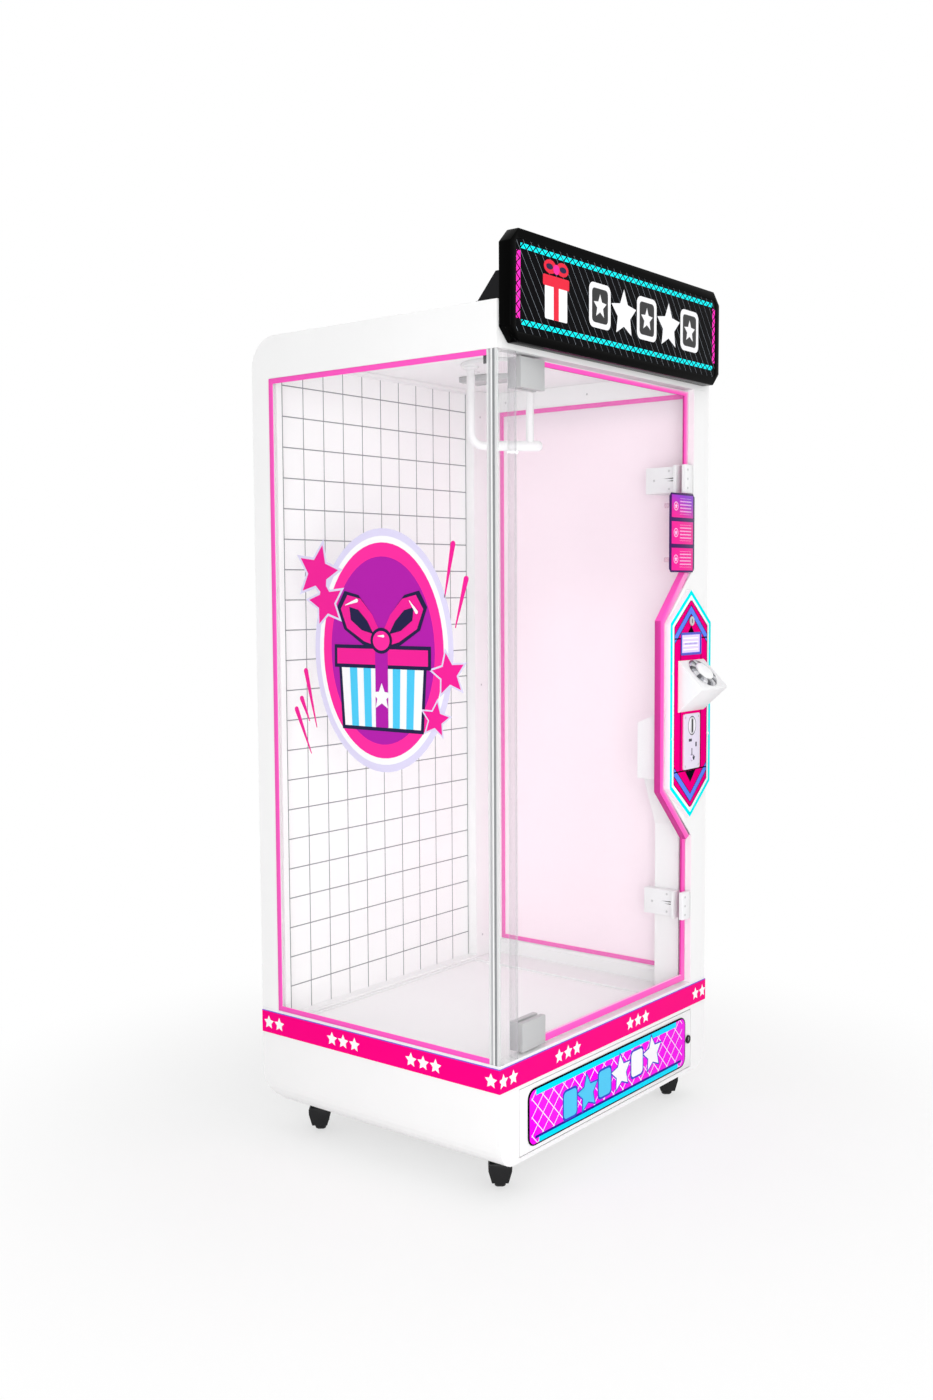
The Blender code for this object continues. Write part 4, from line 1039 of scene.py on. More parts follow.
# ---------------------------------------------------------------- outlines
def rounded(low: Point2, high: Point2, radius: float, steps: int = 6) -> list[Point2]:
    """Rectangle with rounded corners.

    Args:
        low: lowest corner.
        high: highest corner.
        radius: of every corner.
        steps: to each corner.

    Returns:
        Its points, anticlockwise.
    """
    corners = [
        (high[0] - radius, high[1] - radius, 0), (low[0] + radius, high[1] - radius, 90),
        (low[0] + radius, low[1] + radius, 180), (high[0] - radius, low[1] + radius, 270),
    ]
    return [
        (x + radius * math.cos(math.radians(start + 90 * k / steps)),
         y + radius * math.sin(math.radians(start + 90 * k / steps)))
        for x, y, start in corners
        for k in range(steps + 1)
    ]


def grown(outline: Outline, middle: Point2, factor: Point2) -> list[Point2]:
    """The outline made larger about a middle, by one factor on each axis."""
    (a, b), (across, up) = middle, factor
    return [(a + (x - a) * across, b + (y - b) * up) for x, y in outline]


def oval(
    centre: Point2, half: Point2, steps: int = 64, start: float = 0.0, end: float = 360.0,
) -> list[Point2]:
    """Points round an ellipse, or along part of it.

    Args:
        centre: its middle.
        half: its two half widths.
        steps: from start to end.
        start: angle of the first point in degrees.
        end: angle at which it stops; a whole turn closes it.

    Returns:
        Its points, anticlockwise.
    """
    count = steps if end - start >= 360 else steps + 1
    return [
        (centre[0] + half[0] * math.cos(a), centre[1] + half[1] * math.sin(a))
        for a in (math.radians(start + (end - start) * k / steps) for k in range(count))
    ]


def star(centre: Point2, radius: float, turn: float = 0.0, waist: float = 0.46) -> list[Point2]:
    """Five-pointed star.

    Args:
        centre: its middle.
        radius: to its points.
        turn: degrees from upright.
        waist: inner radius as a share of the outer one.

    Returns:
        Its ten points.
    """
    return [
        (centre[0] + r * math.cos(a), centre[1] + r * math.sin(a))
        for k in range(10)
        for r, a in [(radius * (waist if k % 2 else 1), math.radians(90 + turn + 36 * k))]
    ]


def streak(start: Point2, end: Point2, width: float) -> list[Point2]:
    """A tapering stroke.

    Args:
        start: its round, thick end.
        end: its thin end.
        width: at its start.

    Returns:
        Its points.
    """
    run = Vector(end) - Vector(start)
    side = Vector((-run.y, run.x)).normalized() * width / 2
    heading = math.degrees(math.atan2(run.y, run.x))
    cap = oval(start, (width / 2, width / 2), 8, heading + 90, heading + 270)
    return [*cap, tuple(Vector(end) - side * 0.2), tuple(Vector(end) + side * 0.2)]


# ---------------------------------------------------------------- pieces
class Workpiece:
    """A piece being made: solids added one by one, then finished as one object."""

    def __init__(self) -> None:
        """Starts with nothing."""
        self.mesh = bmesh.new()

    def round_edges(self, geometry: list, offset: float, segments: int) -> None:
        """Rounds the sharp edges of this geometry.

        Args:
            geometry: points, edges and faces of this piece.
            offset: radius of the rounding; 0 leaves the edges sharp.
            segments: steps on each edge.
        """
        edges = [e for e in geometry if isinstance(e, bmesh.types.BMEdge) and e.is_valid]
        sharp = [e for e in edges if len(e.link_faces) == 2 and e.calc_face_angle(0) > SHARP]
        if offset > 0 and sharp:
            bmesh.ops.bevel(
                self.mesh, geom=sharp, offset=offset, segments=segments, profile=0.5, affect="EDGES",
                material=-1, clamp_overlap=True,
            )

    def block(self, low: Point3, high: Point3, edge: float = 0.0, segments: int = 2) -> "Workpiece":
        """Adds a box.

        Args:
            low: lowest corner.
            high: highest corner.
            edge: radius of its edges.
            segments: steps on each edge.

        Returns:
            This piece.
        """
        made = bmesh.ops.create_cube(self.mesh, size=1)["verts"]
        size = Vector(high) - Vector(low)
        middle = (Vector(high) + Vector(low)) / 2
        bmesh.ops.scale(self.mesh, vec=size, verts=made)
        bmesh.ops.translate(self.mesh, vec=middle, verts=made)
        self.round_edges(list({e for v in made for e in v.link_edges}), edge, segments)
        return self

    def thicken(self, faces: list, axis: Axis, thickness: float) -> list[bmesh.types.BMVert]:
        """Extrudes flat faces.

        Args:
            faces: of this piece.
            axis: the way they grow.
            thickness: how far.

        Returns:
            The points of the new side.
        """
        grown = bmesh.ops.extrude_face_region(self.mesh, geom=faces)["geom"]
        moved = [v for v in grown if isinstance(v, bmesh.types.BMVert)]
        bmesh.ops.translate(self.mesh, vec=axis.run(thickness), verts=moved)
        return moved

    def plate(self, outline: Outline, axis: Axis, low: float, high: float, edge: float = 0.0) -> "Workpiece":
        """Adds a flat outline with thickness.

        Args:
            outline: points in the two other axes, in the order x, y, z.
            axis: the axis of its thickness.
            low: where it starts on that axis.
            high: where it ends.
            edge: radius of its edges.

        Returns:
            This piece.
        """
        ring = [self.mesh.verts.new(axis.lift(point, low)) for point in outline]
        moved = self.thicken([self.mesh.faces.new(ring)], axis, high - low)
        edges = {e for v in [*ring, *moved] for e in v.link_edges}
        self.round_edges(list(edges), edge, 2)
        return self

    def frame(self, outer: Outline, inner: Outline, axis: Axis, low: float, high: float) -> "Workpiece":
        """Adds a flat ring.

        Args:
            outer: its outer outline, as for a plate.
            inner: its inner outline, with as many points.
            axis: the axis of its thickness.
            low: where it starts on that axis.
            high: where it ends.

        Returns:
            This piece.
        """
        rings = []
        for outline in (outer, inner):
            verts = [self.mesh.verts.new(axis.lift(point, low)) for point in outline]
            rings.append([self.mesh.edges.new((verts[k - 1], verts[k])) for k in range(len(verts))])
        faces = bmesh.ops.bridge_loops(self.mesh, edges=[*rings[0], *rings[1]])["faces"]
        self.thicken(faces, axis, high - low)
        return self

    def turned(self, profile: Outline, start: Point3, axis: Point3, steps: int = 32) -> "Workpiece":
        """Adds a round solid.

        Args:
            profile: (radius, distance along the axis) points; it closes on itself or ends on the axis.
            start: the point on the axis at distance 0.
            axis: its direction.
            steps: round the axis.

        Returns:
            This piece.
        """
        heading = Vector(axis).normalized()
        side = heading.orthogonal().normalized()
        origin = Vector(start)
        verts = [self.mesh.verts.new(origin + side * r + heading * h) for r, h in profile]
        closed = profile[0][0] > 0 and profile[-1][0] > 0
        pairs = list(zip(verts, verts[1:])) + ([(verts[-1], verts[0])] if closed else [])
        edges = [self.mesh.edges.new(pair) for pair in pairs]
        before = set(self.mesh.verts) - set(verts)
        bmesh.ops.spin(
            self.mesh, geom=[*verts, *edges], cent=origin, axis=heading, angle=math.tau, steps=steps,
            use_merge=True,
        )
        made = [v for v in self.mesh.verts if v not in before]
        bmesh.ops.remove_doubles(self.mesh, verts=made, dist=1e-6)
        return self

    def rod(
        self, start: Point3, end: Point3, radius: float, steps: int = 16, edge: float = 0.0,
    ) -> "Workpiece":
        """Adds a round bar.

        Args:
            start: middle of one end.
            end: middle of the other.
            radius: of the bar.
            steps: round it.
            edge: size of the chamfers at its ends.

        Returns:
            This piece.
        """
        axis = Vector(end) - Vector(start)
        run = axis.length
        cut = min(edge, radius * 0.9)
        profile = [
            (0, 0), (radius - cut, 0), (radius, cut), (radius, run - cut), (radius - cut, run), (0, run),
        ]
        if cut == 0:
            profile = [(0, 0), (radius, 0), (radius, run), (0, run)]
        return self.turned(profile, start, tuple(axis), steps)

    def from_node(self, node: str, edge: float = 0.0, segments: int = 2) -> "Workpiece":
        """Adds a copy of a CAD node with rounded edges.

        Args:
            node: its name.
            edge: radius of its edges.
            segments: steps on each edge.

        Returns:
            This piece.
        """
        self.mesh.from_mesh(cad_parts[node].data)
        bmesh.ops.remove_doubles(self.mesh, verts=self.mesh.verts, dist=1e-6)
        bmesh.ops.dissolve_limit(
            self.mesh, angle_limit=math.radians(0.5), verts=self.mesh.verts, edges=self.mesh.edges,
        )
        self.round_edges(list(self.mesh.edges), edge, segments)
        return self

    def moved(self, matrix: Matrix) -> "Workpiece":
        """Moves everything made so far."""
        bmesh.ops.transform(self.mesh, matrix=matrix, verts=self.mesh.verts)
        return self

    def finish(
        self, name: str, finish: Finish, slot: str, body: str = "cabinet", replaces: Sequence[str] = (),
        flat: bool = False,
    ) -> bpy.types.Object:
        """Makes the object.

        Args:
            name: of the piece.
            finish: its look.
            slot: the record's material slot; not used.
            body: which it moves with.
            replaces: CAD nodes that it stands for.
            flat: whether its faces are shaded flat.

        Returns:
            The object.
        """
        bmesh.ops.recalc_face_normals(self.mesh, faces=self.mesh.faces)
        for face in self.mesh.faces:
            face.smooth = not flat
        for edge in self.mesh.edges:
            edge.smooth = len(edge.link_faces) == 2 and edge.calc_face_angle(0) < CREASE
        data = bpy.data.meshes.new(name)
        self.mesh.to_mesh(data)
        self.mesh.free()
        made = bpy.data.objects.new(name, data)
        bpy.context.scene.collection.objects.link(made)
        data.materials.append(made_of(finish))
        if replaces:
            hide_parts(*replaces)
        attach(made, body)
        LOG.info("made %s: %d faces", name, len(data.polygons))
        return made


def dress(nodes: Iterable[str], finish: Finish) -> None:
    """Gives CAD nodes a finish in place of their plain one.

    Args:
        nodes: their names.
        finish: their look.
    """
    for node in nodes:
        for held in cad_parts[node].material_slots:
            held.link = "OBJECT"
            held.material = made_of(finish)
        LOG.info("dressed %s in %s", node, finish.name)


def soften(node: str, finish: Finish, slot: str, body: str, edge: float = 0.001, segments: int = 2) -> None:
    """Replaces a CAD node by a copy with rounded edges."""
    name = f"{node}_finished"
    Workpiece().from_node(node, edge, segments).finish(name, finish, slot, body, [node])


class Screws:
    """Small screw heads set on flat faces."""

    def __init__(self, radius: float = 0.0032, rise: float = 0.0012) -> None:
        """Sets the size of every head.

        Args:
            radius: of a head.
            rise: of its top above the face.
        """
        self.radius = radius
        self.rise = rise
        self.piece = Workpiece()

    def add(self, place: Point3, outward: Point3) -> "Screws":
        """Adds one domed head with a small socket.

        Args:
            place: on the face.
            outward: away from the face.

        Returns:
            These screws.
        """
        r, h = self.radius, self.rise
        profile = [
            (0, 0), (r, 0), (r, h * 0.45), (r * 0.8, h * 0.85),
            (r * 0.4, h), (r * 0.32, h * 0.5), (0, h * 0.5),
        ]
        self.piece.turned(profile, place, outward, 12)
        return self

    def finish(self, name: str, finish: Finish, slot: str, body: str = "cabinet") -> None:
        """Makes them one piece."""
        self.piece.finish(name, finish, slot, body)


# ---------------------------------------------------------------- base
@dataclass(frozen=True)
class Base:
    """Lower cabinet: painted shell, pink band, kick strip and power inlet."""

    def build(self) -> None:
        """Dresses the shell, the deck and the band, and adds the small fittings."""
        dress(["base_shell", "sill_frame"], Stock.PAINT)
        dress(["deck_panel"], Stock.DECK)
        dress(["cash_box"], Stock.STEEL)
        dress(["waist_band"], BandFilm("waist film"))
        self.kick_strips()
        self.inlet()

    def kick_strips(self) -> None:
        """Strip that stands on the deck's rim along the right wall, with its screws."""
        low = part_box("sill_frame")[0].z + 0.0055
        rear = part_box("rear_frame")[0].y - FIT
        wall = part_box("right_wall_panel")[0].x
        strip = Workpiece()
        strip.block((wall - 0.0022, behind(0.108), low), (wall - FIT, rear, 0.3095), 0.0006)
        strip.finish("kick_strip", Stock.PAINT, "white_steel")
        screws = Screws(0.0026, 0.0008)
        for depth in (0.20, 0.36, 0.52):
            screws.add((wall - 0.0022, behind(depth), 0.2925), (-1, 0, 0))
        screws.finish("kick_strip_screws", Stock.ZINC, "steel")

    def inlet(self) -> None:
        """Softens the power inlet and its switch, and adds the socket's pins."""
        soften("power_inlet", Stock.BLACK_PLASTIC, "black_plastic", "cabinet", 0.0006)
        soften("power_switch", Stock.BLACK_PLASTIC, "black_plastic", "power_switch", 0.0006)
        low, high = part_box("power_inlet")
        pins = Workpiece()
        middle = ((low.x + high.x) / 2 - 0.017, (low.z + high.z) / 2)
        for x, z in ((-0.0065, 0.0), (0.0065, 0.0), (0.0, 0.0045)):
            place = (middle[0] + x, middle[1] + z)
            pins.block(
                (place[0] - 0.001, high.y - 0.0178, place[1] - 0.0022),
                (place[0] + 0.001, high.y - 0.0040, place[1] + 0.0022), 0.0003,
            )
        pins.finish("inlet_pins", Stock.ZINC, "steel")


@dataclass(frozen=True)
class ServiceDoor:
    """Drop-front service door with its printed panel and cam lock."""

    row: Point2 = (-0.212, 0.206)  # from where to where the row of shapes reaches
    count: int = 6
    middle: float = 0.1600
    border: float = 1.17  # the outline's size over its shape's

    def build(self) -> None:
        """Softens the door, prints the panel and lays film shapes on it."""
        soften("service_door", Stock.PAINT, "white_steel", "service_door", 0.0012)
        soften("service_graphic", ServicePrint("service print"), "graphic_magenta", "service_door", 0.0008)
        soften("service_lock", Stock.BLACK_PLASTIC, "steel", "service_lock", 0.0008)
        self.shapes()
        low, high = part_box("service_lock")
        centre = ((low.x + high.x) / 2, self.middle)
        Workpiece().block(
            (centre[0] - 0.0007, low.y - 0.00012, centre[1] - 0.0042),
            (centre[0] + 0.0007, low.y + 0.0004, centre[1] + 0.0042),
        ).finish("service_keyway", Stock.ZINC, "steel", "service_lock")

    def shapes(self) -> None:
        """A plain row of bars and stars, outlined in blue, where a title would go."""
        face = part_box("service_graphic")[0].y
        pitch = (self.row[1] - self.row[0]) / self.count
        outlines: list[list[Point2]] = []
        for k in range(self.count):
            centre = self.row[0] + pitch * (k + 0.5)
            lift = 0.010 * (k - 2.5) / 2.5
            if k % 2:
                outlines.append(star((centre, self.middle + lift), 0.042, 6.0, 0.5))
            else:
                low = (centre - 0.025, self.middle + lift - 0.030)
                high = (centre + 0.025, self.middle + lift + 0.030)
                outlines.append(rounded(low, high, 0.010))
        back, cyan, white = Workpiece(), Workpiece(), Workpiece()
        for k, outline in enumerate(outlines):
            middle = (sum(p[0] for p in outline) / len(outline), sum(p[1] for p in outline) / len(outline))
            larger = grown(outline, middle, (self.border, self.border))
            back.plate(larger, Axis.Y, face - FILM - 0.00003 * k, face - LAP)
            (cyan if k < 3 else white).plate(outline, Axis.Y, face - 3 * FILM, face - FILM - 0.0002)
        films = (
            ("outline", back, Stock.STICKER_BLUE), ("cyan", cyan, Stock.STICKER_CYAN),
            ("white", white, Stock.STICKER_WHITE),
        )
        for colour, film, finish in films:
            film.finish(f"service_shapes_{colour}", finish, "graphic_magenta", "service_door", flat=True)


# ---------------------------------------------------------------- upper cabinet
@dataclass(frozen=True)
class UpperCabinet:
    """Side frames, back, roof, header, corner and right post."""

    corner_leg: float = 0.026
    corner_face: float = 0.018

    def build(self) -> None:
        """Dresses the boards and makes the corner profile."""
        dress(["left_side_frame", "right_side_frame", "back_panel"], Stock.LAMINATE)
        dress(["roof_panel", "front_header", "front_right_post"], Stock.PAINT)
        self.corner()
        self.header_lip()
        self.roof_screws()

    def corner(self) -> None:
        """Clear L-shaped corner profile with grooves, and its strips."""
        low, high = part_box("corner_profile")
        x0, y0 = low.x, low.y
        leg, face, lip, groove = self.corner_leg, self.corner_face, 0.003, 0.0009
        outline = [
            (x0, y0), (x0 + 0.006, y0), (x0 + 0.0065, y0 + groove),
            (x0 + 0.0105, y0 + groove), (x0 + 0.011, y0), (x0 + face, y0),
            (x0 + face, y0 + lip), (x0 + lip, y0 + lip), (x0 + lip, y0 + leg), (x0, y0 + leg),
            (x0, y0 + 0.019), (x0 + groove, y0 + 0.0185), (x0 + groove, y0 + 0.0135), (x0, y0 + 0.013),
        ]
        # grey and near-white bands on the clear profile are painted shade and highlights
        shades = (
            (0.0008, 0.0060, "E4E5E6", 0.75), (0.0060, 0.0120, "85888A", 0.85),
            (0.0120, 0.0165, "FAFAFA", 0.9), (0.0165, 0.0215, "B4B6B8", 0.8),
            (0.0215, 0.027, "E9EAEB", 0.7),
        )
        side = tuple((y0 + start, y0 + end, tint(code), alpha) for start, end, code, alpha in shades)
        finish = ClearStrip("corner profile", side, Axis.Y, clear_beyond=x0 + 0.0034)
        corner = Workpiece().plate(outline, Axis.Z, low.z, high.z)
        corner.finish(
            "corner_profile_grooved", finish, "clear_plastic", "cabinet", ["corner_profile"], flat=True,
        )
        low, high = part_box("hinge_side_strip")
        bands = (
            (low.x - 0.001, low.x + 0.0040, tint("F0F0F4"), 0.04),
            (high.x - 0.0035, high.x + 0.001, tint("BDBAC0"), 0.35),
        )
        dress(["hinge_side_strip"], ClearStrip("hinge strip", bands, Axis.X, tint("EEECF4"), 0.03))

    def header_lip(self) -> None:
        """Grey strip under the header, above the door."""
        low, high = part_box("front_header")
        Workpiece().block(
            (low.x + 0.030, behind(0.0045), low.z - 0.0012),
            (high.x - 0.002, behind(0.0295), low.z - FIT), 0.0003,
        ).finish("header_lip", Stock.HEADER_LIP, "white_steel")

    def roof_screws(self) -> None:
        """Screws that hold the roof and the back."""
        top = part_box("roof_panel")[1].z
        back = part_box("back_panel")[1].y
        roof = Screws(0.0035, 0.0010)
        for x in (-0.39, -0.13, 0.13, 0.39):
            for z in (0.345, 1.02, 1.70):
                roof.add((x, back, z), (0, 1, 0))
        for x in (-0.39, 0.39):
            for depth in (0.20, 0.55):
                roof.add((x, behind(depth), top), (0, 0, 1))
        roof.finish("panel_screws", Stock.ZINC, "steel")


@dataclass(frozen=True)
class RearWall:
    """Ruled board and its white frame."""

    def build(self) -> None:
        """Rules the board and sets the frame's screws."""
        dress(["grid_panel"], Grid("ruled board"))
        dress(["rear_frame"], Stock.LINER)
        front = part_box("rear_frame")[0].y
        screws = Screws(0.0028, 0.0009)
        for x, z in ((0.341, 1.738), (0.373, 1.730), (0.341, 1.02), (0.341, 0.33)):
            screws.add((x, front, z), (0, -1, 0))
        screws.finish("rear_post_screws", Stock.ZINC, "steel")


@dataclass(frozen=True)
class RightWall:
    """Pale pink liner with its pink edging."""

    width: float = 0.012
    proud: float = 0.003
    low: float = 0.312
    reach: tuple[float, float] = (0.043, 0.620)

    def build(self) -> None:
        """Edging on the inner face and in the outer recess."""
        dress(["right_wall_panel"], PalePink("pale pink liner"))
        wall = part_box("right_wall_panel")[0].x
        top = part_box("left_window_trim")[1].z
        low, high = (behind(self.reach[0]), self.low), (behind(self.reach[1]), top)
        self.edging("right_wall_edging", low, high, wall - self.proud, wall - 0.00005)
        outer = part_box("right_wall_panel")[1].x
        low = (behind(0.0445), self.low + 0.002)
        high = (behind(0.6455), top - 0.001)
        self.edging("right_recess_edging", low, high, outer + FIT, RIGHT + 0.0003)
        screws = Screws(0.0028, 0.0009)
        for depth, z in ((0.602, 1.779), (0.34, 1.779), (0.08, 1.779)):
            screws.add((wall, behind(depth), z), (-1, 0, 0))
        screws.finish("right_wall_screws", Stock.ZINC, "steel")

    def edging(self, name: str, low: Point2, high: Point2, start: float, end: float) -> None:
        """Adds one four-sided edging.

        Args:
            name: of the piece.
            low: its lowest corner in (y, z).
            high: its highest corner.
            start: where it starts along x.
            end: where it ends.
        """
        w = self.width
        outer = [low, (high[0], low[1]), high, (low[0], high[1])]
        inner = [
            (low[0] + w, low[1] + w), (high[0] - w, low[1] + w),
            (high[0] - w, high[1] - w), (low[0] + w, high[1] - w),
        ]
        piece = Workpiece().frame(outer, inner, Axis.X, start, end)
        piece.round_edges(list(piece.mesh.edges), 0.0012, 2)
        piece.finish(name, Trim("side trim", dark=tint("F252B8")), "trim_pink")


@dataclass(frozen=True)
class Ceiling:
    """Ceiling panel with a grey channel, its ribs and the clip of the glass."""

    channel: tuple[Point2, Point2] = ((0.100, 0.360), (0.175, 0.520))

    def build(self) -> None:
        """Dresses the panel and hangs its fittings."""
        dress(["ceiling_panel"], Stock.LINER)
        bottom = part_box("ceiling_panel")[0].z
        (x0, d0), (x1, d1) = self.channel
        channel = Workpiece()
        channel.block((x0, behind(d0), bottom - 0.014), (x1, behind(d1), bottom - FIT), 0.002)
        channel.finish("ceiling_channel", Stock.GREY_PAINT, "white_liner")
        tray = Workpiece()
        for offset in (0.008, 0.067):
            tray.block(
                (x0 + offset - 0.002, behind(d0) + 0.006, bottom - 0.016),
                (x0 + offset + 0.002, behind(d1) - 0.006, bottom - 0.0138),
            )
        tray.finish("ceiling_channel_ribs", Stock.HEADER_LIP, "white_liner")
        clip = Workpiece()
        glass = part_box("left_glass")[1].x
        clip.block((glass + FIT, behind(0.030), 1.7280), (glass + 0.0030, behind(0.041), 1.7490), 0.0006)
        depth, z = 0.0355, 1.7385
        clip.rod(
            (glass + 0.003, behind(depth), z), (glass + 0.0052, behind(depth), z), 0.0032, 12, 0.0006,
        )
        clip.finish("glass_clip", Stock.DARK_STEEL, "steel")


# ---------------------------------------------------------------- glazing
@dataclass(frozen=True)
class Glazing:
    """Panes and the trim of the side window."""

    def build(self) -> None:
        """Dresses the panes and softens the trim."""
        dress(["left_glass"], Glass("side glass", Pane.SIDE))
        dress(["corner_glass"], Glass("corner glass", Pane.FRONT, clear=0.008, cut=0.06))
        dress(["front_door_glass"], Glass("door glass", Pane.FRONT, cut=0.12))
        soften("left_window_trim", Trim("side trim", dark=tint("F252B8")), "trim_pink", "cabinet", 0.0012)


@dataclass(frozen=True)
class Artwork:
    """Film on the side window: an oval badge with a gift box, stars and streaks."""

    centre: Point2 = (0.315, 1.148)  # depth and height
    half: Point2 = (0.198, 0.262)

    def place(self, depth: float, z: float) -> Point2:
        """Turns a depth and height into (y, z)."""
        return behind(depth), z

    def layer(self, name: str, level: int, finish: Finish, outlines: Iterable[Outline]) -> None:
        """Adds one colour of film.

        Args:
            name: of the piece.
            level: 0 lies on the glass, and each level lies on the last.
            finish: its colour.
            outlines: its shapes in (y, z).
        """
        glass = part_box("left_glass")[0].x
        piece = Workpiece()
        for k, outline in enumerate(outlines):
            rise = FILM * level + LAP * k
            piece.plate(outline, Axis.X, glass - FILM * 0.85 - rise, glass - rise)
        piece.finish(name, finish, "graphic_magenta", flat=True)

    def build(self) -> None:
        """Lays the films from the glass outwards."""
        c, h = self.place(*self.centre), self.half
        backing = [oval(c, h), *self.star_outlines(1.22)]
        self.layer("badge_backing", 0, Stock.STICKER_LILAC, backing[:1])
        self.layer("star_backings", 4, Stock.STICKER_LILAC, backing[1:])
        self.layer("badge_white", 1, Stock.STICKER_WHITE, [oval(c, (h[0] - 0.014, h[1] - 0.016))])
        self.layer("badge_ring", 2, Stock.STICKER_HOT, [oval(c, (h[0] - 0.026, h[1] - 0.030))])
        self.layer("stars", 6, Stock.STICKER_MAGENTA, self.star_outlines(1.0))
        self.layer("streaks", 0, Stock.STICKER_MAGENTA, self.streak_outlines())
        self.layer("badge_field", 3, Stock.STICKER_PURPLE, [oval(c, (h[0] - 0.050, h[1] - 0.060))])
        self.gift(c)

    def star_outlines(self, grown: float) -> list[list[Point2]]:
        """The four loose stars, this much larger."""
        stars = ((0.502, 1.318, 0.062, 14.0), (0.478, 1.252, 0.052, -12.0),
                 (0.1300, 1.104, 0.045, -10.0), (0.1660, 1.008, 0.037, 8.0))
        return [star(self.place(d, z), r * grown, turn, 0.48) for d, z, r, turn in stars]

    def streak_outlines(self) -> list[list[Point2]]:
        """Five tapering strokes on both sides of the badge."""
        strokes = (
            (0.117, 1.372, 0.140, 1.262), (0.083, 1.300, 0.112, 1.200),
            (0.544, 1.098, 0.512, 0.972), (0.575, 1.010, 0.530, 0.912), (0.558, 1.035, 0.534, 0.985),
        )
        return [
            streak(self.place(d0, z0), self.place(d1, z1), 0.013) for d0, z0, d1, z1 in strokes
        ]

    def gift(self, c: Point2) -> None:
        """A wrapped box with a ribbon and a bow in the badge's middle.

        Args:
            c: the badge's middle.
        """
        y, z = c
        width, height, lid = 0.118, 0.135, 0.034
        low = z - 0.165
        top = low + height
        box = [(y - width * 0.92, low), (y + width * 0.92, low), (y + width, top), (y - width, top)]
        cover = [(y - width - 0.012, top), (y + width + 0.012, top), (y + width + 0.012, top + lid),
                 (y - width - 0.012, top + lid)]
        grown_box = [(y - width * 0.92 - 0.008, low - 0.008), (y + width * 0.92 + 0.008, low - 0.008),
                     (y + width + 0.008, top), (y - width - 0.008, top)]
        grown_cover = [(y - width - 0.020, top - 0.008), (y + width + 0.020, top - 0.008),
                       (y + width + 0.020, top + lid + 0.008), (y - width - 0.020, top + lid + 0.008)]
        self.layer("gift_outline", 4, Stock.STICKER_NAVY, [grown_box])
        self.layer("gift_lid_outline", 8, Stock.STICKER_NAVY, [grown_cover])
        self.layer("gift_box", 5, Stock.STICKER_WHITE, [box])
        self.layer("gift_lid", 9, Stock.STICKER_MAGENTA, [cover])
        stripes = [
            [
                (y + s - 0.010, low), (y + s + 0.010, low),
                (y + s * 1.06 + 0.011, top), (y + s * 1.06 - 0.011, top),
            ]
            for s in (-0.078, -0.040, 0.040, 0.078)
        ]
        self.layer("gift_stripes", 6, Stock.STICKER_CYAN, stripes)
        ribbon = [rounded((y - 0.018, low), (y + 0.018, top + lid), 0.001, 1)]
        self.layer("gift_ribbon", 10, Stock.STICKER_PURPLE, ribbon)
        self.bow(y, top + lid + 0.014)
        self.layer("gift_star", 11, Stock.STICKER_WHITE, [star((y, low + 0.066), 0.030)])

    def bow(self, y: float, knot: float) -> None:
        """The bow on top of the box.

        Args:
            y: of its middle.
            knot: height of its knot.
        """

        def mirrored(shape: Outline) -> list[Outline]:
            """The shape and its mirror image."""
            return [shape, [(2 * y - a, b) for a, b in reversed(shape)]]

        loop = [
            (y, knot - 0.012), (y + 0.050, knot + 0.002), (y + 0.100, knot + 0.030),
            (y + 0.118, knot + 0.072), (y + 0.098, knot + 0.102), (y + 0.060, knot + 0.094),
            (y + 0.026, knot + 0.060), (y, knot + 0.016),
        ]
        hole = [
            (y + 0.022, knot + 0.018), (y + 0.056, knot + 0.026), (y + 0.088, knot + 0.048),
            (y + 0.092, knot + 0.076), (y + 0.066, knot + 0.070), (y + 0.040, knot + 0.046),
        ]
        larger = grown(loop, (y, knot + 0.045), (1.09, 1.16))
        self.layer("bow_outline", 6, Stock.STICKER_NAVY, mirrored(larger))
        self.layer("bow", 7, Stock.STICKER_MAGENTA, mirrored(loop))
        self.layer("bow_inside", 11, Stock.STICKER_NAVY, mirrored(hole))
        self.layer("knot_outline", 11, Stock.STICKER_NAVY, [oval((y, knot + 0.004), (0.031, 0.028), 24)])
        self.layer("knot", 12, Stock.STICKER_HOT, [oval((y, knot + 0.004), (0.024, 0.021), 24)])
        shine = [streak((y + 0.070, knot + 0.090), (y + 0.104, knot + 0.080), 0.008),
                 streak((y - 0.100, knot + 0.066), (y - 0.080, knot + 0.090), 0.008),
                 streak((y - 0.006, knot + 0.014), (y + 0.010, knot + 0.014), 0.006)]
        self.layer("bow_shine", 13, Stock.STICKER_WHITE, shine)


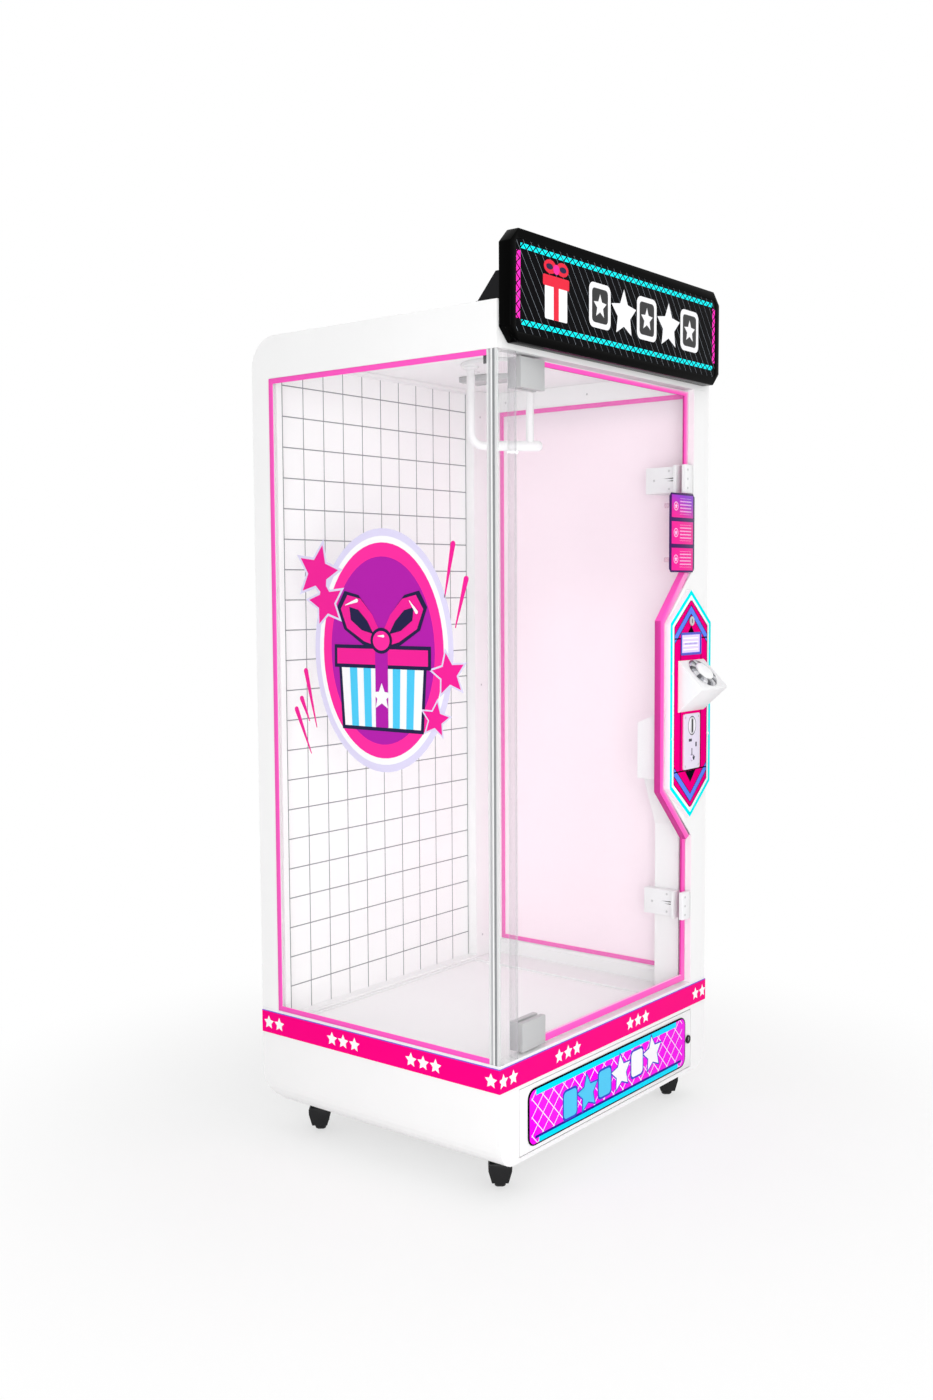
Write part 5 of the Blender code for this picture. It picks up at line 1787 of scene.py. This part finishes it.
# ---------------------------------------------------------------- front door
@dataclass(frozen=True)
class FrontDoor:
    """Glass door: trim, hinge patches, strikes, locks and the card."""

    def build(self) -> None:
        """Softens each fitting and adds its screws."""
        soften("front_door_trim", Trim("pink trim"), "trim_pink", "front_door", 0.0014)
        for name in ("upper_hinge_patch", "lower_hinge_patch"):
            soften(name, Stock.PATCH, "patch_steel", "front_door", 0.0008)
        for name in ("upper_strike", "lower_strike"):
            soften(name, Stock.CASE, "white_steel", "front_door", 0.0010)
        for name in ("upper", "lower"):
            soften(f"{name}_lock_case", Stock.CASE, "white_plastic", "cabinet", 0.0012)
            soften(f"{name}_lock_bolt", Stock.STEEL, "steel", f"{name}_bolt", 0.0006)
            self.fittings(name)
        soften("instruction_card", CardPrint("printed card"), "card_purple", "front_door", 0.0005)

    def fittings(self, name: str) -> None:
        """Adds the screws of a strike and a lock case, and the dark slots of the case.

        Args:
            name: upper or lower.
        """
        low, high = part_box(f"{name}_lock_case")
        middle = (low.z + high.z) / 2
        slots = Workpiece()
        for lift, reach in ((0.004, 0.030), (-0.002, 0.020)):
            start, end = low.y + 0.004, low.y + 0.004 + reach
            z = middle + lift
            wedge = [(start, z + 0.0016), (start, z - 0.0016), (end, z - 0.0004)]
            slots.plate(wedge, Axis.X, low.x - FILM, low.x - LAP)
        slots.finish(f"{name}_lock_slots", Stock.BLACK_PLASTIC, "black_plastic", flat=True)
        low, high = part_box(f"{name}_strike")
        middle = (low.z + high.z) / 2
        screws = Screws(0.0030, 0.0009)
        for z in (-0.022, 0.0, 0.022):
            screws.add((low.x + 0.0105, low.y, middle + z), (0, -1, 0))
        screws.finish(f"{name}_strike_screws", Stock.ZINC, "steel", "front_door")
        low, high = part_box(f"{name}_lock_case")
        screws = Screws(0.0030, 0.0009)
        for depth, z in ((0.018, 0.022), (0.060, 0.0), (0.018, -0.022)):
            screws.add((low.x, low.y + depth, middle + z), (-1, 0, 0))
        screws.finish(f"{name}_lock_screws", Stock.ZINC, "steel")


# ---------------------------------------------------------------- controls
@dataclass(frozen=True)
class ControlPanel:
    """Six-sided panel with display, key switch, coin plate and screws."""

    centre: Point2 = (0.326, 0.998)
    coin_drop: float = 0.090  # from the panel's middle down to the coin plate's
    slot_rise: float = 0.038  # from the coin plate's middle up to the coin slot's
    margin_screws: tuple[Point2, ...] = (
        (-0.0865, 0.078), (-0.0865, -0.078), (0.0865, 0.078), (0.0865, -0.078), (0, 0.2545), (0, -0.2545),
    )

    def build(self) -> None:
        """Prints the panel and dresses what is on it."""
        soften("control_panel", PanelPrint("panel print", self.centre), "panel_pink", "cabinet", 0.0008)
        dress(["display_screen"], DisplayPrint("display"))
        soften("key_switch", Stock.STEEL, "steel", "key_switch", 0.0006)
        plate = (self.centre[0], self.centre[1] - self.coin_drop)
        soften("coin_plate", CoinPrint("coin plate", plate), "steel", "cabinet", 0.0008)
        button = CoinPrint("return button", plate)
        soften("coin_return_button", button, "black_plastic", "coin_return", 0.0012)
        low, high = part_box("key_switch")
        x, z = (low.x + high.x) / 2, (low.z + high.z) / 2
        outline = rounded((x - 0.0014, z - 0.0052), (x + 0.0014, z + 0.0052), 0.0013)
        keyhole = Workpiece().plate(outline, Axis.Y, low.y - FILM, low.y - LAP)
        keyhole.finish("keyhole", Stock.BLACK_PLASTIC, "black_plastic", "key_switch", flat=True)
        dress(["coin_acceptor_box"], Stock.PLASTIC)
        dress(["coin_duct"], Stock.PAINT)
        self.screws()
        self.rims()

    def screws(self) -> None:
        """White screws in the margin, and steel ones at the coin plate's corners."""
        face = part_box("control_panel")[0].y
        x, z = self.centre
        margin = Screws(0.0040, 0.0012)
        for dx, dz in self.margin_screws:
            margin.add((x + dx, face, z + dz), (0, -1, 0))
        margin.finish("panel_screws_white", Stock.PLASTIC, "white_plastic")
        low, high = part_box("coin_plate")
        corners = Screws(0.0030, 0.0010)
        for px in (low.x + 0.007, high.x - 0.007):
            for pz in (low.z + 0.008, high.z - 0.008):
                corners.add((px, low.y, pz), (0, -1, 0))
        corners.finish("coin_plate_screws", Stock.ZINC, "steel")

    def rims(self) -> None:
        """Raised rims round the coin slot and the display, and the slot's dark inside."""
        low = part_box("coin_plate")[0]
        x, z = self.centre[0], self.centre[1] - self.coin_drop + self.slot_rise
        outer = rounded((x - 0.0062, z - 0.0205), (x + 0.0062, z + 0.0205), 0.0060)
        inner = rounded((x - 0.0032, z - 0.0167), (x + 0.0032, z + 0.0167), 0.0030)
        rim = Workpiece().frame(outer, inner, Axis.Y, low.y - 0.0009, low.y - LAP)
        rim.finish("coin_slot_rim", Stock.STEEL, "steel")
        slot = Workpiece().block(
            (x - 0.0031, low.y - 0.0008, z - 0.0165), (x + 0.0031, low.y - 0.0001, z + 0.0165),
        )
        slot.finish("coin_slot_dark", Stock.BLACK_PLASTIC, "black_plastic")
        low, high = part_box("display_screen")
        outer = rounded((low.x - 0.0030, low.z - 0.0030), (high.x + 0.0030, high.z + 0.0030), 0.0040)
        inner = rounded((low.x + 0.0010, low.z + 0.0010), (high.x - 0.0010, high.z - 0.0010), 0.0022)
        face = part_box("control_panel")[0].y
        bezel = Workpiece().frame(outer, inner, Axis.Y, face - 0.0014, face - LAP)
        bezel.finish("display_bezel", Even("blue bezel", tint("3F46C8"), 0.3, grain=900.0), "display")


@dataclass(frozen=True)
class StartButton:
    """Wedge housing with a chrome ring and a white cap."""

    axis: Point3 = (0.0, -0.7032, 0.7110)  # the way the cap faces

    def build(self) -> None:
        """Softens the housing, paints stepped reflections on the ring and crowns the cap."""
        soften("button_housing", Stock.PLASTIC, "white_plastic", "cabinet", 0.0035, 3)
        low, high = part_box("button_bezel")
        middle = (low + high) / 2
        ring = Segmented("segmented chrome", tuple(middle), self.axis)
        soften("button_bezel", ring, "chrome", "cabinet", 0.0006)
        soften("start_button_cap", Stock.CAP, "cap_white", "start_button", 0.0012)


# ---------------------------------------------------------------- sign
@dataclass(frozen=True)
class Sign:
    """Lit sign: glossy black case, printed face, film shapes and bracket."""

    gift: Point2 = (-0.266, 1.884)
    row: Point3 = (-0.150, 0.330, 1.880)  # the row's start, end and height
    count: int = 5

    def build(self) -> None:
        """Softens the case, prints the face and lays shapes on it."""
        soften("sign_box", Stock.SIGN_CASE, "sign_black", "cabinet", 0.0030, 3)
        dress(["sign_face"], SignPrint("sign print"))
        dress(["sign_bracket"], Stock.BLACK_STEEL)
        self.box()
        self.shapes()

    def layer(self, name: str, level: int, finish: Finish, outlines: Iterable[Outline]) -> None:
        """Adds one colour of film on the sign's face.

        Args:
            name: of the piece.
            level: 0 lies on the face, and each level lies on the last.
            finish: its colour.
            outlines: its shapes in (x, z).
        """
        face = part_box("sign_face")[0].y
        piece = Workpiece()
        for outline in outlines:
            piece.plate(outline, Axis.Y, face - FILM * (level + 1), face - FILM * level - LAP)
        piece.finish(name, finish, "display", flat=True)

    def box(self) -> None:
        """A small wrapped box with a bow at the left end."""
        x, z = self.gift
        box = rounded((x - 0.040, z - 0.058), (x + 0.040, z + 0.012), 0.004)
        lid = rounded((x - 0.047, z + 0.008), (x + 0.047, z + 0.030), 0.004)
        ribbon = rounded((x - 0.009, z - 0.058), (x + 0.009, z + 0.030), 0.001)
        self.layer("sign_gift_box", 0, Stock.STICKER_WHITE, [box])
        self.layer("sign_gift_lid", 1, Stock.STICKER_RED, [lid])
        self.layer("sign_gift_ribbon", 2, Stock.STICKER_RED, [ribbon])
        loops = [oval((x + side * 0.022, z + 0.047), (0.022, 0.014), 24) for side in (-1, 1)]
        self.layer("sign_bow", 3, Stock.STICKER_RED, loops)
        holes = [oval((x + side * 0.024, z + 0.047), (0.012, 0.006), 20) for side in (-1, 1)]
        self.layer("sign_bow_inside", 4, Stock.STICKER_NAVY, holes)
        self.layer("sign_knot", 5, Stock.STICKER_HOT, [oval((x, z + 0.044), (0.011, 0.010), 20)])

    def shapes(self) -> None:
        """A white row of rounded squares and stars where a title would go."""
        start, end, z = self.row
        pitch = (end - start) / self.count
        solid: list[list[Point2]] = []
        holes: list[list[Point2]] = []
        for k in range(self.count):
            x = start + pitch * (k + 0.5)
            if k % 2:
                solid.append(star((x, z - 0.003), 0.053, 0.0, 0.5))
            else:
                solid.append(rounded((x - 0.042, z - 0.047), (x + 0.042, z + 0.047), 0.016))
                holes.append(rounded((x - 0.031, z - 0.036), (x + 0.031, z + 0.036), 0.010))
        self.layer("sign_shapes", 0, Stock.STICKER_WHITE, solid)
        ground = Even("sign ground", (0.003, 0.003, 0.004), 0.3, grain=300.0)
        self.layer("sign_shapes_inside", 1, ground, holes)
        inner = [star((start + pitch * (k + 0.5), z - 0.001), 0.026) for k in range(0, self.count, 2)]
        self.layer("sign_small_stars", 2, Stock.STICKER_WHITE, inner)


# ---------------------------------------------------------------- cutter
@dataclass(frozen=True)
class Cutter:
    """Turning arm under the ceiling, its blade and its drive."""

    turn: float = -45.0
    half_span: float = 0.070

    def build(self) -> None:
        """Dresses the arm and its blade, softens the drive, and adds collars and screws."""
        dress(["cutter_arm"], Stock.ARM)
        dress(["cutter_blade"], Stock.STEEL)
        soften("arm_drive", Stock.BLACK_STEEL, "black_steel", "cabinet", 0.0020)
        low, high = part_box("cutter_arm")
        centre = Vector(((low.x + high.x) / 2, (low.y + high.y) / 2, 0))
        across = Vector((math.cos(math.radians(self.turn)), math.sin(math.radians(self.turn)), 0))
        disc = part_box("ceiling_panel")[0].z - 0.0085
        collars = Workpiece()
        for side in (-1, 1):
            foot = centre + across * self.half_span * side
            profile = [(0.0102, 0), (0.0185, 0), (0.0185, 0.003), (0.0150, 0.006), (0.0102, 0.0075)]
            collars.turned(profile, (foot.x, foot.y, disc), (0, 0, -1), 24)
        collars.finish("arm_collars", Stock.ARM, "white_plastic", "cutter_arm")
        screws = Screws(0.0036, 0.0014)
        for k in range(6):
            angle = math.radians(60 * k + 15)
            place = (centre.x + 0.084 * math.cos(angle), centre.y + 0.084 * math.sin(angle), disc)
            screws.add(place, (0, 0, -1))
        screws.finish("arm_disc_screws", Stock.ZINC, "steel", "cutter_arm")


# ---------------------------------------------------------------- casters
@dataclass(frozen=True)
class Caster:
    """One swivel caster: top plate, raceway, hooded fork, tread and hub."""

    name: str
    yaw: float = 38.0
    trail: float = 0.014
    radius: float = 0.025
    width: float = 0.026
    cheek: float = 0.003  # thickness of the fork's cheeks

    def build(self) -> None:
        """Makes the caster from its own axes, then turns it into place."""
        wheel_low, wheel_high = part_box(f"{self.name}_wheel")
        hub = (wheel_low + wheel_high) / 2
        ahead = Vector((math.cos(math.radians(self.yaw)), math.sin(math.radians(self.yaw)), 0))
        stem = hub - ahead * self.trail
        turn = Matrix.Translation((stem.x, stem.y, 0)) @ Matrix.Rotation(math.radians(self.yaw), 4, "Z")
        self.fork(turn)
        self.wheel(turn)
        self.plate(stem)

    def fork(self, turn: Matrix) -> None:
        """Hooded fork with two tapering cheeks, an axle and its nuts.

        Args:
            turn: from the caster's own axes to its place.
        """
        half = self.width / 2 + 0.0018
        cheek_edge = [
            (half, 0.0180), (half + 0.0030, 0.0180), (half + 0.0105, 0.0440), (half + 0.0110, 0.0560),
            (half + 0.0080, 0.0600),
        ]
        shell = [
            *((-across, up) for across, up in cheek_edge), *reversed(cheek_edge),
            (half, 0.0530), (-half, 0.0530),
        ]
        fork = Workpiece().plate(shell, Axis.X, -0.0150, 0.0290, 0.0004)
        fork.plate(shell[:-2], Axis.X, -0.0185, -0.0146, 0.0012)
        fork.turned(
            [
                (0, 0.0575), (0.0175, 0.0575), (0.0205, 0.0625),
                (0.0210, 0.0690), (0.0190, 0.0712), (0, 0.0712),
            ],
            (0, 0, 0), (0, 0, 1), 28,
        )
        fork.moved(turn).finish(
            f"{self.name}_hood", Stock.CASTER_BLACK, "caster_rubber", f"{self.name}_swivel",
            [f"{self.name}_fork"],
        )
        end = half + self.cheek
        left, right = (self.trail, -end - 0.002, self.radius), (self.trail, end + 0.002, self.radius)
        metal = Workpiece().rod(left, right, 0.0039, 16, 0.0004)
        for side in (-1, 1):
            nut = [(0, 0), (0.0062, 0), (0.0062, 0.0014), (0.0050, 0.0020), (0, 0.0020)]
            metal.turned(nut, (self.trail, end * side, self.radius), (0, side, 0), 6)
        metal.rod((0, 0, 0.0712), (0, 0, 0.0747), 0.0120, 24, 0.0003)
        metal.moved(turn).finish(f"{self.name}_axle", Stock.DARK_STEEL, "steel", f"{self.name}_swivel")

    def wheel(self, turn: Matrix) -> None:
        """Tread with round shoulders, and a dished hub with a collar.

        Args:
            turn: from the caster's own axes to its place.
        """
        r, h = self.radius, self.width / 2
        tread = [
            (r - 0.0055, -h * 0.92), (r - 0.0030, -h * 0.90), (r - 0.0011, -h * 0.72), (r, -h * 0.44),
            (r, h * 0.44), (r - 0.0011, h * 0.72), (r - 0.0030, h * 0.90), (r - 0.0055, h * 0.92),
        ]
        place = turn @ Vector((self.trail, 0, r))
        axis = tuple(turn.to_3x3() @ Vector((0, 1, 0)))
        Workpiece().turned(tread, tuple(place), axis, 48).finish(
            f"{self.name}_tread", Stock.RUBBER, "caster_rubber", f"{self.name}_wheel", [f"{self.name}_wheel"],
        )
        hub = [
            (0.0041, -h), (0.0085, -h), (0.0090, -h * 0.72), (r - 0.0075, -h * 0.62),
            (r - 0.0057, -h * 0.90), (r - 0.0057, h * 0.90),
            (r - 0.0075, h * 0.62), (0.0090, h * 0.72), (0.0085, h), (0.0041, h),
        ]
        Workpiece().turned(hub, tuple(place), axis, 40).finish(
            f"{self.name}_hub", Stock.CASTER_BLACK, "caster_rubber", f"{self.name}_wheel",
        )

    def plate(self, stem: Vector) -> None:
        """Square top plate with a round hole for the raceway, and its bolts.

        Args:
            stem: a point on the swivel's axis.
        """
        low, high, half = 0.0722, 0.0748, 0.0290
        outer = rounded((stem.x - half, stem.y - half), (stem.x + half, stem.y + half), 0.006, 7)
        inner = oval((stem.x, stem.y), (0.0225, 0.0225), 32, 0.0)
        top = Workpiece().frame(outer, inner, Axis.Z, low, high)
        top.finish(f"{self.name}_plate", Stock.DARK_STEEL, "steel")
        bolts = Workpiece()
        head = [(0, 0), (0.0036, 0), (0.0036, 0.0022), (0, 0.0022)]
        for dx in (-1, 1):
            for dy in (-1, 1):
                place = (stem.x + dx * 0.0235, stem.y + dy * 0.0235, low)
                bolts.turned(head, place, (0, 0, -1), 6)
        bolts.finish(f"{self.name}_bolts", Stock.ZINC, "steel")


# ---------------------------------------------------------------- studio
@dataclass(frozen=True)
class Lamp:
    """One soft square lamp."""

    name: str
    place: Point3
    target: Point3
    size: float
    power: float  # watts
    spread: float = 180.0  # angle of its beam in degrees
    seen: bool = True  # whether it is seen and mirrored

    def build(self) -> None:
        """Hangs the lamp and turns it to its target."""
        data = bpy.data.lights.new(self.name, "AREA")
        data.shape = "SQUARE"
        data.size = self.size
        data.energy = self.power
        data.spread = math.radians(self.spread)
        lamp = bpy.data.objects.new(self.name, data)
        lamp.location = self.place
        lamp.rotation_euler = (Vector(self.target) - Vector(self.place)).to_track_quat("-Z", "Y").to_euler()
        lamp.visible_camera = lamp.visible_glossy = lamp.visible_transmission = self.seen
        bpy.context.scene.collection.objects.link(lamp)


@dataclass(frozen=True)
class Studio:
    """White background, pale floor, soft lamps and the camera."""

    eye: Point3 = (-2.6925, -2.0226, 1.2801)
    yaw: float = 51.6227
    pitch: float = -4.4986
    roll: float = -0.3211
    lens: float = 36.35
    sky: float = 0.60
    lamps: tuple[Lamp, ...] = (
        Lamp("front lamp", (-0.6, -4.4, 2.2), (0, 0, 1.0), 3.0, 30.0),
        Lamp("main lamp", (-3.2, -2.5, 1.1), (0, 0, 0.95), 2.6, 83.0),
        Lamp("top lamp", (0.2, -0.6, 4.8), (0, 0, 0.8), 3.0, 34.0),
        Lamp("cabin lamp", (-0.02, 0.0, 1.52), (-0.02, 0.001, 0.3), 0.30, 0.45, 120.0, False),
        Lamp("cabin uplight", (-0.02, 0.0, 1.30), (-0.02, 0.001, 1.8), 0.30, 0.15, 120.0, False),
    )

    def build(self) -> None:
        """Sets up everything around the object."""
        self.camera()
        self.world()
        self.floor()
        for lamp in self.lamps:
            lamp.build()

    def camera(self) -> None:
        """Stands the camera at the eye and turns it."""
        data = bpy.data.cameras.new("camera")
        data.lens = self.lens
        data.clip_end = 60
        camera = bpy.data.objects.new("camera", data)
        bpy.context.scene.collection.objects.link(camera)
        yaw, pitch, roll = (math.radians(angle) for angle in (self.yaw, self.pitch, self.roll))
        upright = Matrix.Rotation(-yaw, 4, "Z") @ Matrix.Rotation(math.pi / 2 + pitch, 4, "X")
        camera.matrix_world = Matrix.Translation(self.eye) @ upright @ Matrix.Rotation(roll, 4, "Z")
        bpy.context.scene.camera = camera

    def world(self) -> None:
        """Pure white where it is seen, mirrored or seen through, and lower where it lights."""
        world = bpy.data.worlds.new("studio")
        bpy.context.scene.world = world
        world.use_nodes = True
        tree = world.node_tree
        tree.nodes.clear()
        path = tree.nodes.new("ShaderNodeLightPath")
        seen = tree.nodes.new("ShaderNodeMath")
        seen.operation = "MAXIMUM"
        tree.links.new(path.outputs["Is Camera Ray"], seen.inputs[0])
        tree.links.new(path.outputs["Is Glossy Ray"], seen.inputs[1])
        all_seen = tree.nodes.new("ShaderNodeMath")
        all_seen.operation = "MAXIMUM"
        tree.links.new(seen.outputs[0], all_seen.inputs[0])
        tree.links.new(path.outputs["Is Transmission Ray"], all_seen.inputs[1])
        strength = tree.nodes.new("ShaderNodeMapRange")
        tree.links.new(all_seen.outputs[0], strength.inputs["Value"])
        strength.inputs["To Min"].default_value = self.sky
        strength.inputs["To Max"].default_value = 1.0
        background = tree.nodes.new("ShaderNodeBackground")
        background.inputs["Color"].default_value = (1, 1, 1, 1)
        tree.links.new(strength.outputs[0], background.inputs["Strength"])
        output = tree.nodes.new("ShaderNodeOutputWorld")
        tree.links.new(background.outputs[0], output.inputs["Surface"])

    def floor(self) -> None:
        """A wide pale floor that keeps a light shadow and fades to white."""
        mesh = bmesh.new()
        bmesh.ops.create_circle(mesh, cap_ends=True, segments=64, radius=30)
        data = bpy.data.meshes.new("floor")
        mesh.to_mesh(data)
        mesh.free()
        floor = bpy.data.objects.new("floor", data)
        bpy.context.scene.collection.objects.link(floor)
        graph = Graph("studio floor")
        x, y, _ = graph.place
        away = graph.math("SQRT", x * x + y * y).ramp(0.55, 1.6)
        path = graph.node("ShaderNodeLightPath")
        camera = Value(graph, path.outputs["Is Camera Ray"])
        mirror = Value(graph, path.outputs["Is Glossy Ray"])
        through = Value(graph, path.outputs["Is Transmission Ray"])
        matte = graph.node("ShaderNodeBsdfDiffuse", None, {"Color": (0.93, 0.93, 0.93)})
        white = graph.node("ShaderNodeEmission", None, {"Color": (1, 1, 1), "Strength": 1.0})
        factor = (away * 0.4 + 0.6) * (camera | mirror | through)
        ends = {0: factor, 1: matte.outputs[0], 2: white.outputs[0]}
        shader = graph.node("ShaderNodeMixShader", None, ends)
        data.materials.append(graph.finish(shader))


def main() -> None:
    """Builds every assembly in turn, then the studio."""
    logging.basicConfig(level=logging.INFO, format="%(message)s")
    bpy.context.scene.view_settings.view_transform = "Standard"
    assemblies = [
        Base(), ServiceDoor(), UpperCabinet(), RearWall(), RightWall(), Ceiling(), Glazing(), Artwork(),
        FrontDoor(), ControlPanel(), StartButton(), Sign(), Cutter(),
        *(Caster(f"{end}_{side}_caster") for end in ("front", "rear") for side in ("left", "right")),
        Studio(),
    ]
    for assembly in assemblies:
        LOG.info("building %s", type(assembly).__name__)
        assembly.build()
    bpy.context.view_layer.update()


if __name__ == "__main__":
    main()
